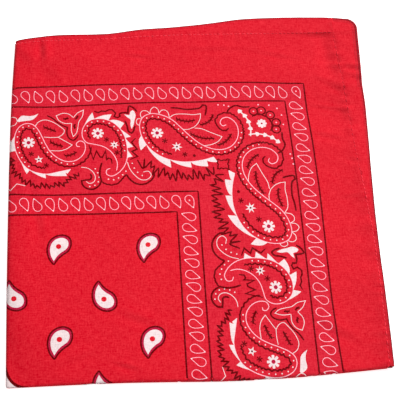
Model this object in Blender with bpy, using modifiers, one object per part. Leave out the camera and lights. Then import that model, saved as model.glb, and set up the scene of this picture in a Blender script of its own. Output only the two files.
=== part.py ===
"""A cotton bandana folded twice into a quarter of its size and laid flat.

Folded in half, the cloth has one crease. Folded in half again, it has four layers: the second fold wraps
round all of them and is the left-hand edge, and the first fold's crease lies twice, one on the other, along
the near edge. The far and right-hand edges are open and hemmed. Plan positions are measured from the
cloth's centre, the folded corner at the left near end: X runs to the right and Y away. The finished model
is moved so that the middle of its underside's box is at the origin.
"""

import math
from collections import namedtuple

import bmesh
import bpy
from mathutils import Vector

# Driving dimensions, in metres.
BANDANA_WIDTH = 0.550  # the hemmed cloth, which isn't quite square
BANDANA_LENGTH = 0.580
QUARTER_WIDTH = BANDANA_WIDTH / 2
QUARTER_DEPTH = BANDANA_LENGTH / 2
STACK_HEIGHT = 0.0042  # the four layers lying loosely on each other
CLOTH_WALL = 0.0010  # the top layer's wall
HEM_WALL = 0.0011  # a hem is the cloth turned on itself
PIECE_GAP = 0.0003  # air between one piece and the next
SEAM_HALF_GAP = PIECE_GAP / 2
RIM_ROUNDING = 0.00032

# The left-hand fold holds all four layers, so the top layer rolls halfway down it. The near fold is two
# creases, one on the other, so the top layer rolls down only half of the upper one.
WRAP_ROLL = 0.0024  # how far in from the left fold the roll starts
WRAP_DROP = STACK_HEIGHT / 2
CREASE_ROLL = 0.0017
CREASE_DROP = STACK_HEIGHT / 4
ROLL_ANGLES = (0, 25, 55)  # degrees round a roll, before the flat begins at 90

# How finely each piece is divided. The last rows before the far right corner are closer, to round it.
PANEL_CELLS = 30
LAYER_CELLS = 26
CLOSE_ROWS = (0.0080, 0.0048, 0.0027, 0.0012, 0.0)
HEM_SHARES = (0.0, 0.4, 0.68, 0.86, 1.0)  # across a hem, closer towards its edge
CORNER_RADIUS = 0.0090  # of the far right corner, where the hems meet

# Each edge of the folded quarter, as stations along it and how far the cloth stands out there from a true
# rectangle: along X for the left and right-hand edges, along Y for the near and far ones.
Station = namedtuple("Station", "along out")
LEFT_FOLD = [
    Station(0.000, -0.0009),
    Station(0.070, -0.0012),
    Station(0.140, -0.0009),
    Station(0.190, -0.0004),
    Station(0.230, 0.0009),
    Station(0.275, 0.0038),
]
NEAR_FOLD = [
    Station(0.000, -0.0002),
    Station(0.070, -0.0002),
    Station(0.105, -0.0009),
    Station(0.150, -0.0021),
    Station(0.190, -0.0016),
    Station(0.226, 0.0001),
    Station(0.262, 0.0027),
]
FAR_EDGE = [
    Station(0.003, -0.0182),
    Station(0.016, -0.0161),
    Station(0.036, -0.0139),
    Station(0.074, -0.0126),
    Station(0.100, -0.0088),
    Station(0.125, -0.0066),
    Station(0.146, -0.0042),
    Station(0.163, -0.0013),
    Station(0.180, 0.0007),
    Station(0.205, 0.0014),
    Station(0.255, 0.0016),
    Station(0.275, 0.0006),
]
RIGHT_EDGE = [
    Station(0.002, -0.0127),
    Station(0.050, -0.0117),
    Station(0.100, -0.0100),
    Station(0.146, -0.0077),
    Station(0.180, -0.0056),
    Station(0.215, -0.0039),
    Station(0.262, -0.0020),
    Station(0.292, -0.0004),
]
# The two rows of hem stitching, measured the same way. The hems grow wider towards the far right corner.
FAR_STITCHING = [
    Station(0.000, -0.0210),
    Station(0.021, -0.0190),
    Station(0.050, -0.0180),
    Station(0.070, -0.0176),
    Station(0.107, -0.0153),
    Station(0.140, -0.0142),
    Station(0.200, -0.0140),
    Station(0.254, -0.0145),
]
RIGHT_STITCHING = [
    Station(0.002, -0.0162),
    Station(0.050, -0.0150),
    Station(0.097, -0.0140),
    Station(0.129, -0.0145),
    Station(0.171, -0.0169),
    Station(0.215, -0.0184),
    Station(0.252, -0.0203),
    Station(0.2755, -0.0211),
]
# How much of the layer below peeks out past the top layer's hem, along each open edge.
FAR_PEEK = [Station(0.000, 0.0004), Station(0.080, 0.0009), Station(0.200, 0.0018), Station(0.275, 0.0020)]
RIGHT_PEEK = [Station(0.000, 0.0003), Station(0.090, 0.0004), Station(0.200, 0.0016), Station(0.290, 0.0020)]

# The largest soft ridges (rise above 0) and troughs (rise below 0) of the stack: where the middle of each
# is, its heading in degrees from +X, its half length, its half width and its rise.
SoftFold = namedtuple("SoftFold", "x y heading half_length half_width rise")
SOFT_FOLDS = [
    SoftFold(0.236, 0.236, 164, 0.040, 0.014, 0.00075),
    SoftFold(0.228, 0.207, 168, 0.042, 0.013, -0.00070),
    SoftFold(0.232, 0.179, 174, 0.036, 0.014, 0.00060),
    SoftFold(0.243, 0.120, 186, 0.034, 0.016, -0.00045),
    SoftFold(0.250, 0.062, 176, 0.030, 0.014, 0.00045),
    SoftFold(0.130, 0.247, 4, 0.060, 0.014, -0.00055),
    SoftFold(0.050, 0.252, 352, 0.036, 0.013, 0.00055),
    SoftFold(0.034, 0.150, 84, 0.090, 0.018, 0.00060),
    SoftFold(0.095, 0.085, 38, 0.062, 0.024, 0.00070),
    SoftFold(0.150, 0.040, 8, 0.070, 0.017, -0.00050),
    SoftFold(0.168, 0.132, 122, 0.060, 0.024, 0.00065),
]

# The sides of the hidden layers, as points from the underside up: how far in from the outline and how high.
# The wrap is the left-hand fold, round below, with a ledge under the top layer's roll. The crease side is
# the near fold, whose two creases meet in a notch. The open sides show three layers, with two notches.
SidePoint = namedtuple("SidePoint", "inset height")
WRAP_SIDE = [
    SidePoint(0.00110, 0.00000),
    SidePoint(0.00045, 0.00022),
    SidePoint(0.00010, 0.00060),
    SidePoint(0.00000, 0.00090),
    SidePoint(0.00000, 0.00106),
    SidePoint(0.00000, 0.00120),
    SidePoint(0.00005, 0.00134),
    SidePoint(0.00020, 0.00145),
    SidePoint(0.00138, 0.00160),
    SidePoint(0.00144, 0.00195),
    SidePoint(0.00164, 0.00235),
    SidePoint(0.00205, 0.00270),
    SidePoint(0.00290, 0.00290),
]
CREASE_SIDE = [
    SidePoint(0.00090, 0.00000),
    SidePoint(0.00038, 0.00020),
    SidePoint(0.00008, 0.00060),
    SidePoint(0.00000, 0.00105),
    SidePoint(0.00010, 0.00150),
    SidePoint(0.00042, 0.00184),
    SidePoint(0.00125, 0.00200),
    SidePoint(0.00060, 0.00212),
    SidePoint(0.00025, 0.00224),
    SidePoint(0.00012, 0.00234),
    SidePoint(0.00020, 0.00244),
    SidePoint(0.00130, 0.00254),
    SidePoint(0.00180, 0.00290),
]
OPEN_SIDE = [
    SidePoint(0.00120, 0.00000),
    SidePoint(0.00050, 0.00015),
    SidePoint(0.00035, 0.00050),
    SidePoint(0.00060, 0.00086),
    SidePoint(0.00150, 0.00096),
    SidePoint(0.00090, 0.00106),
    SidePoint(0.00072, 0.00144),
    SidePoint(0.00090, 0.00182),
    SidePoint(0.00150, 0.00193),
    SidePoint(0.00015, 0.00206),
    SidePoint(0.00000, 0.00240),
    SidePoint(0.00015, 0.00274),
    SidePoint(0.00075, 0.00290),
]

CLOTH_RED = (0.62, 0.018, 0.038)
SHADED_RED = (0.50, 0.014, 0.030)
CLOTH_ROUGHNESS = 0.9


def clear_scene():
    """Empties the scene."""
    for thing in list(bpy.data.objects):
        bpy.data.objects.remove(thing, do_unlink=True)


def read(table, at):
    """The table's value at a station, on a smooth curve through its rows."""
    if at <= table[0].along:
        return table[0].out
    if at >= table[-1].along:
        return table[-1].out
    row = next(i for i in range(1, len(table)) if at <= table[i].along)
    start, end = table[row - 1], table[row]
    before, after = table[max(row - 2, 0)], table[min(row + 1, len(table) - 1)]
    span = end.along - start.along
    slope_in = (end.out - before.out) / (end.along - before.along)
    slope_out = (after.out - start.out) / (after.along - start.along)
    t = (at - start.along) / span
    hold = (1 + 2 * t) * (1 - t) ** 2
    pull_in = t * (1 - t) ** 2 * span * slope_in
    pull_out = t**2 * (1 - t) * span * slope_out
    return hold * start.out + (1 - hold) * end.out + pull_in - pull_out


def left_edge(y):
    return read(LEFT_FOLD, y)


def near_edge(x):
    return read(NEAR_FOLD, x)


def far_edge(x):
    return QUARTER_DEPTH + read(FAR_EDGE, x)


def right_edge(y):
    return QUARTER_WIDTH + read(RIGHT_EDGE, y)


def far_stitching(x):
    return QUARTER_DEPTH + read(FAR_STITCHING, x)


def right_stitching(y):
    return QUARTER_WIDTH + read(RIGHT_STITCHING, y)


def far_hem_edge(x):
    return far_edge(x) - read(FAR_PEEK, x)


def right_hem_edge(y):
    return right_edge(y) - read(RIGHT_PEEK, y)


def top_height(x, y):
    """Height of the stack's upper face over a point of the plan."""
    height = STACK_HEIGHT
    for fold in SOFT_FOLDS:
        heading = math.radians(fold.heading)
        dx, dy = x - fold.x, y - fold.y
        along = dx * math.cos(heading) + dy * math.sin(heading)
        across = dy * math.cos(heading) - dx * math.sin(heading)
        height += fold.rise * math.exp(-((along / fold.half_length) ** 2) - (across / fold.half_width) ** 2)
    return height


def round_corner(x, y):
    """Moves a point near the far right corner in, so that lines along the edges turn it on concentric arcs."""
    from_right = right_edge(y) - x
    from_far = far_edge(x) - y
    to_middle = Vector((CORNER_RADIUS - from_right, CORNER_RADIUS - from_far))
    if min(to_middle) <= 0:
        return x, y
    moved = to_middle * (1 - max(to_middle) / to_middle.length)
    return x - moved.x, y - moved.y


# A row or column of points: how far in from the first edge it starts, and its share of the rest of the way.
# Of the cloth's height over its seam, the roll lets it keep this share.
Line = namedtuple("Line", "offset share roll")


def even_lines(cells):
    return [Line(0.0, i / cells, 1.0) for i in range(cells + 1)]


def hem_lines():
    return [Line(0.0, share, 1.0) for share in HEM_SHARES]


def corner_lines(cells):
    """Lines that come closer to each other before the last one, which turns the rounded corner."""
    close = [1 - distance / QUARTER_DEPTH for distance in CLOSE_ROWS]
    return [Line(0.0, i / cells * close[0], 1.0) for i in range(cells)] + [Line(0.0, c, 1.0) for c in close]


def rolled_lines(start, end, lines):
    """The given lines, begun at end, after those of a fold's roll between start and end."""
    angles = [math.radians(degrees) for degrees in ROLL_ANGLES]
    rolled = [Line(start + (end - start) * (1 - math.cos(a)), 0.0, math.sin(a)) for a in angles]
    return rolled + [Line(end, line.share, 1.0) for line in lines]


def place(edges, column, row):
    """The point of the plan where a column and a row of a four-sided piece cross."""
    left, right, near, far = edges
    x = y = 0.0
    for _ in range(8):
        x = left(y) + column.offset
        x += column.share * (right(y) - x)
        y = near(x) + row.offset
        y += row.share * (far(x) - y)
    return round_corner(x, y)


def material(name, colour):
    made = bpy.data.materials.new(name)
    made.use_nodes = True
    shader = made.node_tree.nodes["Principled BSDF"]
    shader.inputs["Base Color"].default_value = (*colour, 1.0)
    shader.inputs["Roughness"].default_value = CLOTH_ROUGHNESS
    shader.inputs["Metallic"].default_value = 0.0
    return made


def make_object(name, mesh, collection, finish):
    """The mesh as an object of the collection, shaded smooth."""
    data = bpy.data.meshes.new(name)
    mesh.to_mesh(data)
    mesh.free()
    data.shade_smooth()
    data.materials.append(finish)
    made = bpy.data.objects.new(name, data)
    collection.objects.link(made)
    return made


def grid_places(columns, rows):
    """The places of a grid's rim, as column and row numbers in order round it from the near left corner."""
    last_column, last_row = columns - 1, rows - 1
    near = [(i, 0) for i in range(last_column)]
    right = [(last_column, i) for i in range(last_row)]
    far = [(i, last_row) for i in range(last_column, 0, -1)]
    left = [(0, i) for i in range(last_row, 0, -1)]
    return near + right + far + left


def join_rings(mesh, upper, lower):
    """A band of faces between two rings of as many points."""
    for i in range(len(upper)):
        mesh.faces.new((upper[i - 1], lower[i - 1], lower[i], upper[i]))


def wall_surface(mesh, edges, lines, inside, wall):
    """One side of a cloth wall: the outer one, or the inner one if inside is the wall's thickness and not 0."""
    columns = rolled_lines(inside, WRAP_ROLL, lines.across) if lines.wraps else lines.across
    rows = rolled_lines(inside, CREASE_ROLL, lines.deep) if lines.creases else lines.deep
    points = {}
    for i, column in enumerate(columns):
        for j, row in enumerate(rows):
            x, y = place(edges, column, row)
            top = top_height(x, y) + wall - CLOTH_WALL - inside
            down_wrap = (top - STACK_HEIGHT + WRAP_DROP) * (1 - column.roll)
            down_crease = (top - STACK_HEIGHT + CREASE_DROP) * (1 - row.roll)
            points[i, j] = mesh.verts.new((x, y, top - math.hypot(down_wrap, down_crease)))
    for i in range(len(columns) - 1):
        for j in range(len(rows) - 1):
            mesh.faces.new((points[i, j], points[i + 1, j], points[i + 1, j + 1], points[i, j + 1]))
    return [points[place] for place in grid_places(len(columns), len(rows))]


# The lines that divide a wall of cloth, and whether it wraps the left-hand fold and meets the near crease.
WallLines = namedtuple("WallLines", "across deep wraps creases")


def cloth_wall(name, edges, lines, wall, collection, finish):
    """A wall of cloth on the stack's upper face, whose left and near edges roll down where they are folds."""
    mesh = bmesh.new()
    outer = wall_surface(mesh, edges, lines, 0.0, wall)
    inner = wall_surface(mesh, edges, lines, wall, wall)
    join_rings(mesh, outer, inner)
    bmesh.ops.recalc_face_normals(mesh, faces=mesh.faces)
    return make_object(name, mesh, collection, finish)


def round_rim(made):
    rounding = made.modifiers.new("rounded rim", "BEVEL")
    rounding.width = RIM_ROUNDING
    rounding.segments = 2
    rounding.limit_method = "ANGLE"
    rounding.angle_limit = math.radians(50)


def before_side_seam(y):
    return right_stitching(y) - SEAM_HALF_GAP


def after_side_seam(y):
    return right_stitching(y) + SEAM_HALF_GAP


def before_far_seam(x):
    return far_stitching(x) - SEAM_HALF_GAP


def after_far_seam(x):
    return far_stitching(x) + SEAM_HALF_GAP


def top_quarter(collection, finish):
    """The printed quarter on top, from its two folds to the rows of hem stitching."""
    edges = (left_edge, before_side_seam, near_edge, before_far_seam)
    lines = WallLines(even_lines(PANEL_CELLS), even_lines(PANEL_CELLS), True, True)
    return cloth_wall("top_quarter", edges, lines, CLOTH_WALL, collection, finish)


def far_hem(collection, finish):
    """The turned hem of the far edge, from the left fold to the side hem."""
    edges = (left_edge, before_side_seam, after_far_seam, far_hem_edge)
    lines = WallLines(even_lines(PANEL_CELLS), hem_lines(), True, False)
    made = cloth_wall("far_hem", edges, lines, HEM_WALL, collection, finish)
    round_rim(made)
    return made


def side_hem(collection, finish):
    """The turned hem of the right-hand edge, through the far right corner."""
    edges = (after_side_seam, right_hem_edge, near_edge, far_hem_edge)
    lines = WallLines(hem_lines(), corner_lines(PANEL_CELLS), False, True)
    made = cloth_wall("side_hem", edges, lines, HEM_WALL, collection, finish)
    round_rim(made)
    return made


def layer_point(level, u, v):
    """A point of the hidden layers, at shares u across and v deep, and at a level of the side it is nearest."""
    side = OPEN_SIDE
    if v == 0.0:
        side = CREASE_SIDE
    if u == 0.0:
        side = WRAP_SIDE
    inset, height = side[level]
    edges = (left_edge, lambda y: right_edge(y) - inset, near_edge, lambda x: far_edge(x) - inset)
    x, y = place(edges, Line(inset, u, 1.0), Line(inset, v, 1.0))
    return x, y, height + (top_height(x, y) - STACK_HEIGHT) * height / STACK_HEIGHT


def folded_layers(collection, finish):
    """The three quarters underneath: one rounded solid with a flat underside, layered at its edges."""
    shares = [line.share for line in corner_lines(LAYER_CELLS)]
    count = len(shares)
    mesh = bmesh.new()
    points = {}
    for i in range(count):
        for j in range(count):
            x, y, _ = layer_point(-1, shares[i], shares[j])
            points[i, j] = mesh.verts.new((x, y, top_height(x, y) - CLOTH_WALL - PIECE_GAP))
    for i in range(count - 1):
        for j in range(count - 1):
            mesh.faces.new((points[i, j], points[i + 1, j], points[i + 1, j + 1], points[i, j + 1]))
    rim = grid_places(count, count)
    upper = [points[place] for place in rim]
    for level in reversed(range(len(OPEN_SIDE) - 1)):
        lower = [mesh.verts.new(layer_point(level, shares[i], shares[j])) for i, j in rim]
        join_rings(mesh, upper, lower)
        upper = lower
    mesh.faces.new(reversed(upper))
    bmesh.ops.recalc_face_normals(mesh, faces=mesh.faces)
    return make_object("folded_layers", mesh, collection, finish)


def main():
    clear_scene()
    collection = bpy.data.collections.new("folded_bandana")
    bpy.context.scene.collection.children.link(collection)
    red = material("red cotton", CLOTH_RED)
    shaded = material("red cotton in shade", SHADED_RED)
    layers = folded_layers(collection, shaded)
    pieces = [layers, top_quarter(collection, red), far_hem(collection, red), side_hem(collection, red)]
    # The hidden layers reach furthest, so the middle of their box becomes the origin.
    corners = [Vector(corner) for corner in layers.bound_box]
    middle_x = (min(c.x for c in corners) + max(c.x for c in corners)) / 2
    middle_y = (min(c.y for c in corners) + max(c.y for c in corners)) / 2
    for piece in pieces:
        piece.location = (-middle_x, -middle_y, 0.0)


main()
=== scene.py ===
"""Dresses the folded bandana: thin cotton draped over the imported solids, with its hems, stitches and print.

Lengths on the cloth are in millimetres, on the plan that the folds leave: x to the right from the folded
left side, y away from the folded near side, z up from the table. A print point is a complex number on the
flat cloth, whose right-hand quarter lies on that plan.
"""

import cmath
import math
from collections import namedtuple

import bpy
import numpy as np
from mathutils import Matrix, Vector, noise
from mathutils.geometry import delaunay_2d_cdt


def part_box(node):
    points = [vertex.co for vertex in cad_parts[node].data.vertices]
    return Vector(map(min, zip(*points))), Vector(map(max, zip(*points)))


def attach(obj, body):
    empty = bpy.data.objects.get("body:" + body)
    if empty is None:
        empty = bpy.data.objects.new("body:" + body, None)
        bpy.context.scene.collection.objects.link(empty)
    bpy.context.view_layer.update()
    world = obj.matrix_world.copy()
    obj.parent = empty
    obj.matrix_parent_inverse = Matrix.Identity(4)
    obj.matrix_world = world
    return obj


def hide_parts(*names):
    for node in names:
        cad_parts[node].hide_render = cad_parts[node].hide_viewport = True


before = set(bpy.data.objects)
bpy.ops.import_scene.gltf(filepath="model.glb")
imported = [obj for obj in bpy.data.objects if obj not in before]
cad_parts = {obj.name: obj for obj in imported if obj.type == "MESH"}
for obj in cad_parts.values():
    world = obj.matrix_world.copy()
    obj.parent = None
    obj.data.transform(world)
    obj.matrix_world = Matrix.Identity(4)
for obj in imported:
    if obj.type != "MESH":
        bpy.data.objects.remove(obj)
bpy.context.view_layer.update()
MM = 0.001

# ---- the plan of the fold, as the solids have it ----
QUARTER_WIDTH, QUARTER_DEPTH = 275.0, 290.0
STACK, MIDDLE = 4.2, 2.1  # the height of four plies, and where the folded half meets the other
CLOTH, HEM = 0.38, 0.93  # thickness of the cloth, and of a turned hem
WRAP_ROLL = 2.4  # how far the second fold rounds over, to the right of its outermost line
WRAP_LENGTH = 3.542  # cloth in a quarter turn of it
CREASE_ROLL = 1.7  # how far the two creases of the first fold round over
CREASE_LENGTH = 4.44  # cloth in the half turn of one of them
CREASE_CORE, CREASE_UNDER = 1.05, 0.95  # from a crease's own middle to its upper and lower print side
CORNER_RADIUS = 8.8  # the rounding of the far right corner
SEAM_CROSSING = 253.9  # where the far stitching meets the right stitching
Station = namedtuple("Station", "along out")


def stations(*rows):
    """How far a fold, an edge or a seam stands out from the plan, at places along it."""
    return [Station(*row) for row in rows]


LEFT_FOLD = stations((0, -1.65), (70, -1.9), (140, -1.6), (190, -1.05), (230, 0.05), (275, 2.25))
NEAR_FOLD = stations(
    (0, 0.05), (70, 0.15), (105, -0.65), (150, -1.95), (190, -1.55), (226, 0.15), (262, 2.2),
)
FAR_EDGE = stations(
    (3, -16.8), (16, -14.7), (36, -12.35), (74, -11.25), (100, -7.5), (125, -5.55), (146, -3.25),
    (163, -0.8), (180, 1.7), (205, 2.9), (246, 2.9), (258, 2.2), (266, 1.2), (275, 0.6),
)
RIGHT_EDGE = stations(
    (2, -11.75), (50, -10.4), (100, -9.15), (146, -7.05), (180, -4.95), (205, -3.45), (215, -3.2),
    (228, -3.35), (240, -2.65), (262, -1.35), (292, 0.15),
)
FAR_STITCHING = stations(
    (0, -20.6), (21, -18.6), (50, -17.5), (70, -17.0), (107, -14.6), (140, -13.5), (200, -12.9),
    (254, -12.8),
)
RIGHT_STITCHING = stations(
    (2, -15.5), (50, -13.9), (97, -13.0), (129, -14.0), (171, -16.8), (215, -18.4), (252, -20.3),
    (277.2, -21.1),
)
# How far the top quarter's open edges stay back from the ply below, which peeks out.
FAR_PEEK = stations((0, 0.4), (80, 0.6), (200, 0.7), (240, 0.9), (275, 1.6))
RIGHT_PEEK = stations((0, 0.3), (90, 0.4), (190, 0.6), (225, 1.1), (290, 1.3))

ORIGIN_X, ORIGIN_Y = 1.2, 2.1  # the plan's origin, from the lowest corner of the layers
lowest_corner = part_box("folded_layers")[0]
SHIFT_X = lowest_corner[0] / MM + ORIGIN_X
SHIFT_Y = lowest_corner[1] / MM + ORIGIN_Y


def read(table, at):
    """A table's value at a place along it, or at an array of them, on a smooth curve through its rows."""
    at = np.clip(np.asarray(at, float), table[0].along, table[-1].along)
    along = np.array([row.along for row in table])
    out = np.array([row.out for row in table])
    i = np.clip(np.searchsorted(along, at, side="right") - 1, 0, len(table) - 2)
    before, after = np.maximum(i - 1, 0), np.minimum(i + 2, len(table) - 1)
    run = along[i + 1] - along[i]
    t = (at - along[i]) / run
    leave = (out[i + 1] - out[before]) / (along[i + 1] - along[before]) * run
    arrive = (out[after] - out[i]) / (along[after] - along[i]) * run
    return (
        (2 * t**3 - 3 * t**2 + 1) * out[i] + (t**3 - 2 * t**2 + t) * leave
        + (3 * t**2 - 2 * t**3) * out[i + 1] + (t**3 - t**2) * arrive
    )


def left_fold(y):
    return read(LEFT_FOLD, y)


def near_fold(x):
    return read(NEAR_FOLD, x)


# ---- the drape: where a point of the flat cloth lies ----
def left_middle(y):
    """The cloth line that lies outermost on the second fold."""
    return left_fold(y) + WRAP_ROLL - WRAP_LENGTH


def near_middle(x):
    """The cloth line that lies outermost on the first fold."""
    return near_fold(x) + CREASE_ROLL - CREASE_LENGTH / 2


# A soft fold: place, heading in degrees, half length, half width and rise.
SOFT_FOLDS = (
    (236, 236, 164, 40, 13, 0.75), (228, 207, 168, 42, 13, -0.70), (232, 179, 174, 36, 14, 0.60),
    (243, 120, 186, 34, 16, -0.45), (250, 62, 176, 30, 14, 0.45), (130, 247, 4, 60, 14, -0.55),
    (50, 252, 352, 36, 13, 0.55), (6, 108, 90, 52, 20, 0.80), (95, 85, 38, 62, 24, 0.70),
    (150, 40, 8, 70, 17, -0.50), (168, 132, 122, 60, 24, 0.65), (272, 246, 97, 24, 20, 1.0),
    (292, 12, 110, 60, 34, 1.6),
)
# A crease: place, heading in degrees, half length, half width and the step up to its left-hand side.
CREASES = (
    (265, 244.2, -5, 7.0, 2.3, 0.50), (251, 244.6, 4, 5.0, 2.2, 0.28), (267.5, 234.8, -12, 6.0, 2.6, 0.34),
    (244, 231.0, -24, 12.0, 3.0, 0.17), (252.5, 224.4, -18, 5.5, 2.2, 0.20),
    (253.5, 205.4, -18, 5.0, 2.8, 0.21), (240, 208.8, -9, 12.0, 1.5, 0.22), (264.5, 206.0, 0, 5.0, 0.8, 0.20),
    (264, 194.5, 0, 5.0, 0.8, 0.14), (255.5, 163.2, -6, 3.5, 1.1, 0.26), (252, 133.2, 10, 10.0, 1.1, 0.24),
    (237, 184, -14, 12.0, 2.2, 0.20), (23.6, 263, -90, 8.0, 2.6, 0.40), (30, 242, -70, 10.0, 5.0, 0.14),
    (9, 258, -50, 8.0, 3.6, 0.18), (96, 257.2, -3, 8.0, 1.6, 0.24), (102, 264, 8, 5.0, 1.6, 0.16),
    (157, 263, 0, 22.0, 2.4, 0.16), (205, 257, -12, 16.0, 2.2, 0.16), (79, 10.8, -16, 8.0, 1.5, 0.22),
    (47, 18, 24, 12.0, 2.6, 0.20), (241, 275.2, 0, 12.0, 1.6, 0.20), (226, 30, -30, 16.0, 3.5, 0.22),
    (88, 44, -20, 18.0, 3.0, 0.18), (150, 96, 64, 26.0, 4.0, 0.20), (20, 128, -82, 30.0, 3.0, 0.18),
)
CREASE_RISE = 1.5  # how far a crease's sides stand up and down, for each unit of its step
FINE_WAVE, FINE_SIZE = 0.05, 7.0  # the cloth's small unevenness, and the size of its bumps
WIDE_WAVE, WIDE_SIZE = 0.12, 26.0  # and its wide unevenness
ELSEWHERE_X, ELSEWHERE_Y = 400, 500  # other places in the noise, so that no two ripples agree
MOST_DROP = 2.2  # no hollow sinks further


def cloth_height(x, y):
    """How much higher than a flat stack the cloth lies there."""
    rise = np.zeros_like(x)
    for place_x, place_y, heading, half_length, half_width, height in SOFT_FOLDS:
        along, across = along_and_across(x - place_x, y - place_y, heading)
        rise += height * np.exp(-(along / half_length) ** 2 - (across / half_width) ** 2)
    for place_x, place_y, heading, half_length, half_width, step in CREASES:
        along, across = along_and_across(x - place_x, y - place_y, heading)
        part = across / half_width
        rise += CREASE_RISE * step * part * np.exp(0.5 - part**2 / 2 - (along / half_length) ** 2)
    rise += FINE_WAVE * ripple(x, y, FINE_SIZE) + WIDE_WAVE * ripple(x + ELSEWHERE_X, y, WIDE_SIZE)
    rise += hem_rise(x, y) - droop(x, y)
    return np.where(rise < 0, MOST_DROP * np.tanh(rise / MOST_DROP), rise)


def along_and_across(x, y, heading):
    turn = math.radians(heading)
    return x * math.cos(turn) + y * math.sin(turn), y * math.cos(turn) - x * math.sin(turn)


def ripple(x, y, size):
    """Smooth noise between about -1 and 1, with bumps of that size."""
    at = np.stack([x / size, y / size], -1).reshape(-1, 2)
    found = [noise.noise(Vector((a, b, 0.0))) for a, b in at.tolist()]
    return 2.0 * np.array(found).reshape(np.shape(x))


def hump(distance, reach):
    """1 at the middle of a soft hump, and little past its reach."""
    return np.exp(-(distance / reach) ** 2)


HEM_RISE = 1.05  # how high the cloth climbs to a turned hem
SIDE_CLIMB, FAR_CLIMB = 5.5, 1.7  # over what width it climbs to the side hem and to the far hem
FAR_SHARE, FAR_GAIN, FAR_GAIN_REACH = 0.35, 0.90, 38.0  # the far hem's share of the rise, more at the corner
UPPER_MIDDLE, UPPER_REACH = 262, 26  # the stretch beside the side hem that its stitching gathers most
HOLLOW, HOLLOW_MIDDLE, HOLLOW_REACH, HOLLOW_END = 0.8, 9, 6, 5  # the hollow that runs along that stretch
Pucker = namedtuple("Pucker", "height size inward outward")
PUCKER, UPPER_GAIN = 0.30, 0.6  # the puckers' height along the side hem, and their gain on that stretch
FINE_PUCKER, WIDE_PUCKER = Pucker(1.0, 3.6, 4.5, 2.0), Pucker(1.3, 9.0, 9.0, 4.0)
WIDE_STRETCH = 3  # the wide puckers are longer across the seam than along it
FAR_PUCKER = Pucker(0.5, 3.2, 3.5, 2.0)
PAST_SEAM = 1.5  # how soon the far puckers end past the side seam


def puckers(kind, x, y, to_seam):
    """Ripples along a seam, which fade into the cloth and into the hem."""
    fading = np.exp(-np.where(to_seam > 0, to_seam / kind.inward, -to_seam / kind.outward))
    return kind.height * ripple(x, y, kind.size) * fading


def hem_rise(x, y):
    """The cloth climbs to its thicker hems, and puckers along their stitching."""
    to_far = QUARTER_DEPTH + read(FAR_STITCHING, x) - y
    to_right = QUARTER_WIDTH + read(RIGHT_STITCHING, y) - x
    inside_far, inside_right = np.maximum(to_far, 0), np.maximum(to_right, 0)
    upper = hump(y - UPPER_MIDDLE, UPPER_REACH)
    far_share = FAR_SHARE + FAR_GAIN * hump(inside_right, FAR_GAIN_REACH)
    right_climb = np.exp(-inside_right / SIDE_CLIMB)
    far_climb = far_share * np.exp(-inside_far / FAR_CLIMB)
    climb = np.cbrt(right_climb**3 + far_climb**3)
    hollow = HOLLOW * upper * hump(to_right - HOLLOW_MIDDLE, HOLLOW_REACH)
    climb -= hollow * (1 - np.exp(-inside_far / HOLLOW_END))
    right = puckers(FINE_PUCKER, np.zeros_like(x), y, to_right)
    right += puckers(WIDE_PUCKER, x / WIDE_STRETCH, y + ELSEWHERE_Y, to_right)
    far = puckers(FAR_PUCKER, x, np.zeros_like(y), to_far) / (1 + np.exp(-to_right / PAST_SEAM))
    return HEM_RISE * climb + PUCKER * (1 + UPPER_GAIN * upper) * right + PUCKER * far


LEFT_SLOPE, NEAR_END_GAIN, FAR_END_GAIN = 0.23, 0.34, 0.12  # the left fold's droop, more at its two ends
LEFT_REACH, NEAR_END_REACH = 3.5, 6.0  # over what width it droops, and how much wider at the near end
NEAR_END, FAR_END, FAR_END_PLACE = 38.0, 22.0, QUARTER_DEPTH - 16  # how long those ends are
NEAR_DROOP, NEAR_REACH = 0.28, 4.0  # the near fold's droop
CORNER_DROOP, CORNER_LENGTH, CORNER_REACH = 1.6, 45.0, 14.0  # and its droop beside the two folds' corner


def droop(x, y):
    """How far the pressed folds round the cloth down, the most at their common corner."""
    near_end = np.exp(-np.maximum(y, 0) / NEAR_END)
    far_end = np.exp(-np.maximum(FAR_END_PLACE - y, 0) / FAR_END)
    from_left = np.maximum(x - left_fold(y), 0)
    from_near = np.maximum(y - near_fold(x), 0)
    reach = LEFT_REACH + NEAR_END_REACH * near_end
    slope = LEFT_SLOPE + NEAR_END_GAIN * near_end + FAR_END_GAIN * far_end
    corner = CORNER_DROOP * np.exp(-from_left / CORNER_LENGTH) * np.exp(-from_near / CORNER_REACH)
    return slope * reach * np.exp(-from_left / reach) + NEAR_DROOP * np.exp(-from_near / NEAR_REACH) + corner


GROOVE_DEPTH, GROOVE_WIDTH = 0.22, 0.8
GROOVE_END = 0.5  # how far the side groove runs past the far stitching


def groove(x, y):
    """How far the stitching draws the cloth in."""
    to_far = y - QUARTER_DEPTH - read(FAR_STITCHING, x)
    to_right = x - QUARTER_WIDTH - read(RIGHT_STITCHING, y)
    pull = hump(to_right, GROOVE_WIDTH) * (to_far < GROOVE_END)
    pull = np.maximum(pull, hump(to_far, GROOVE_WIDTH) * (to_right < 0))
    return GROOVE_DEPTH * pull


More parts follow.
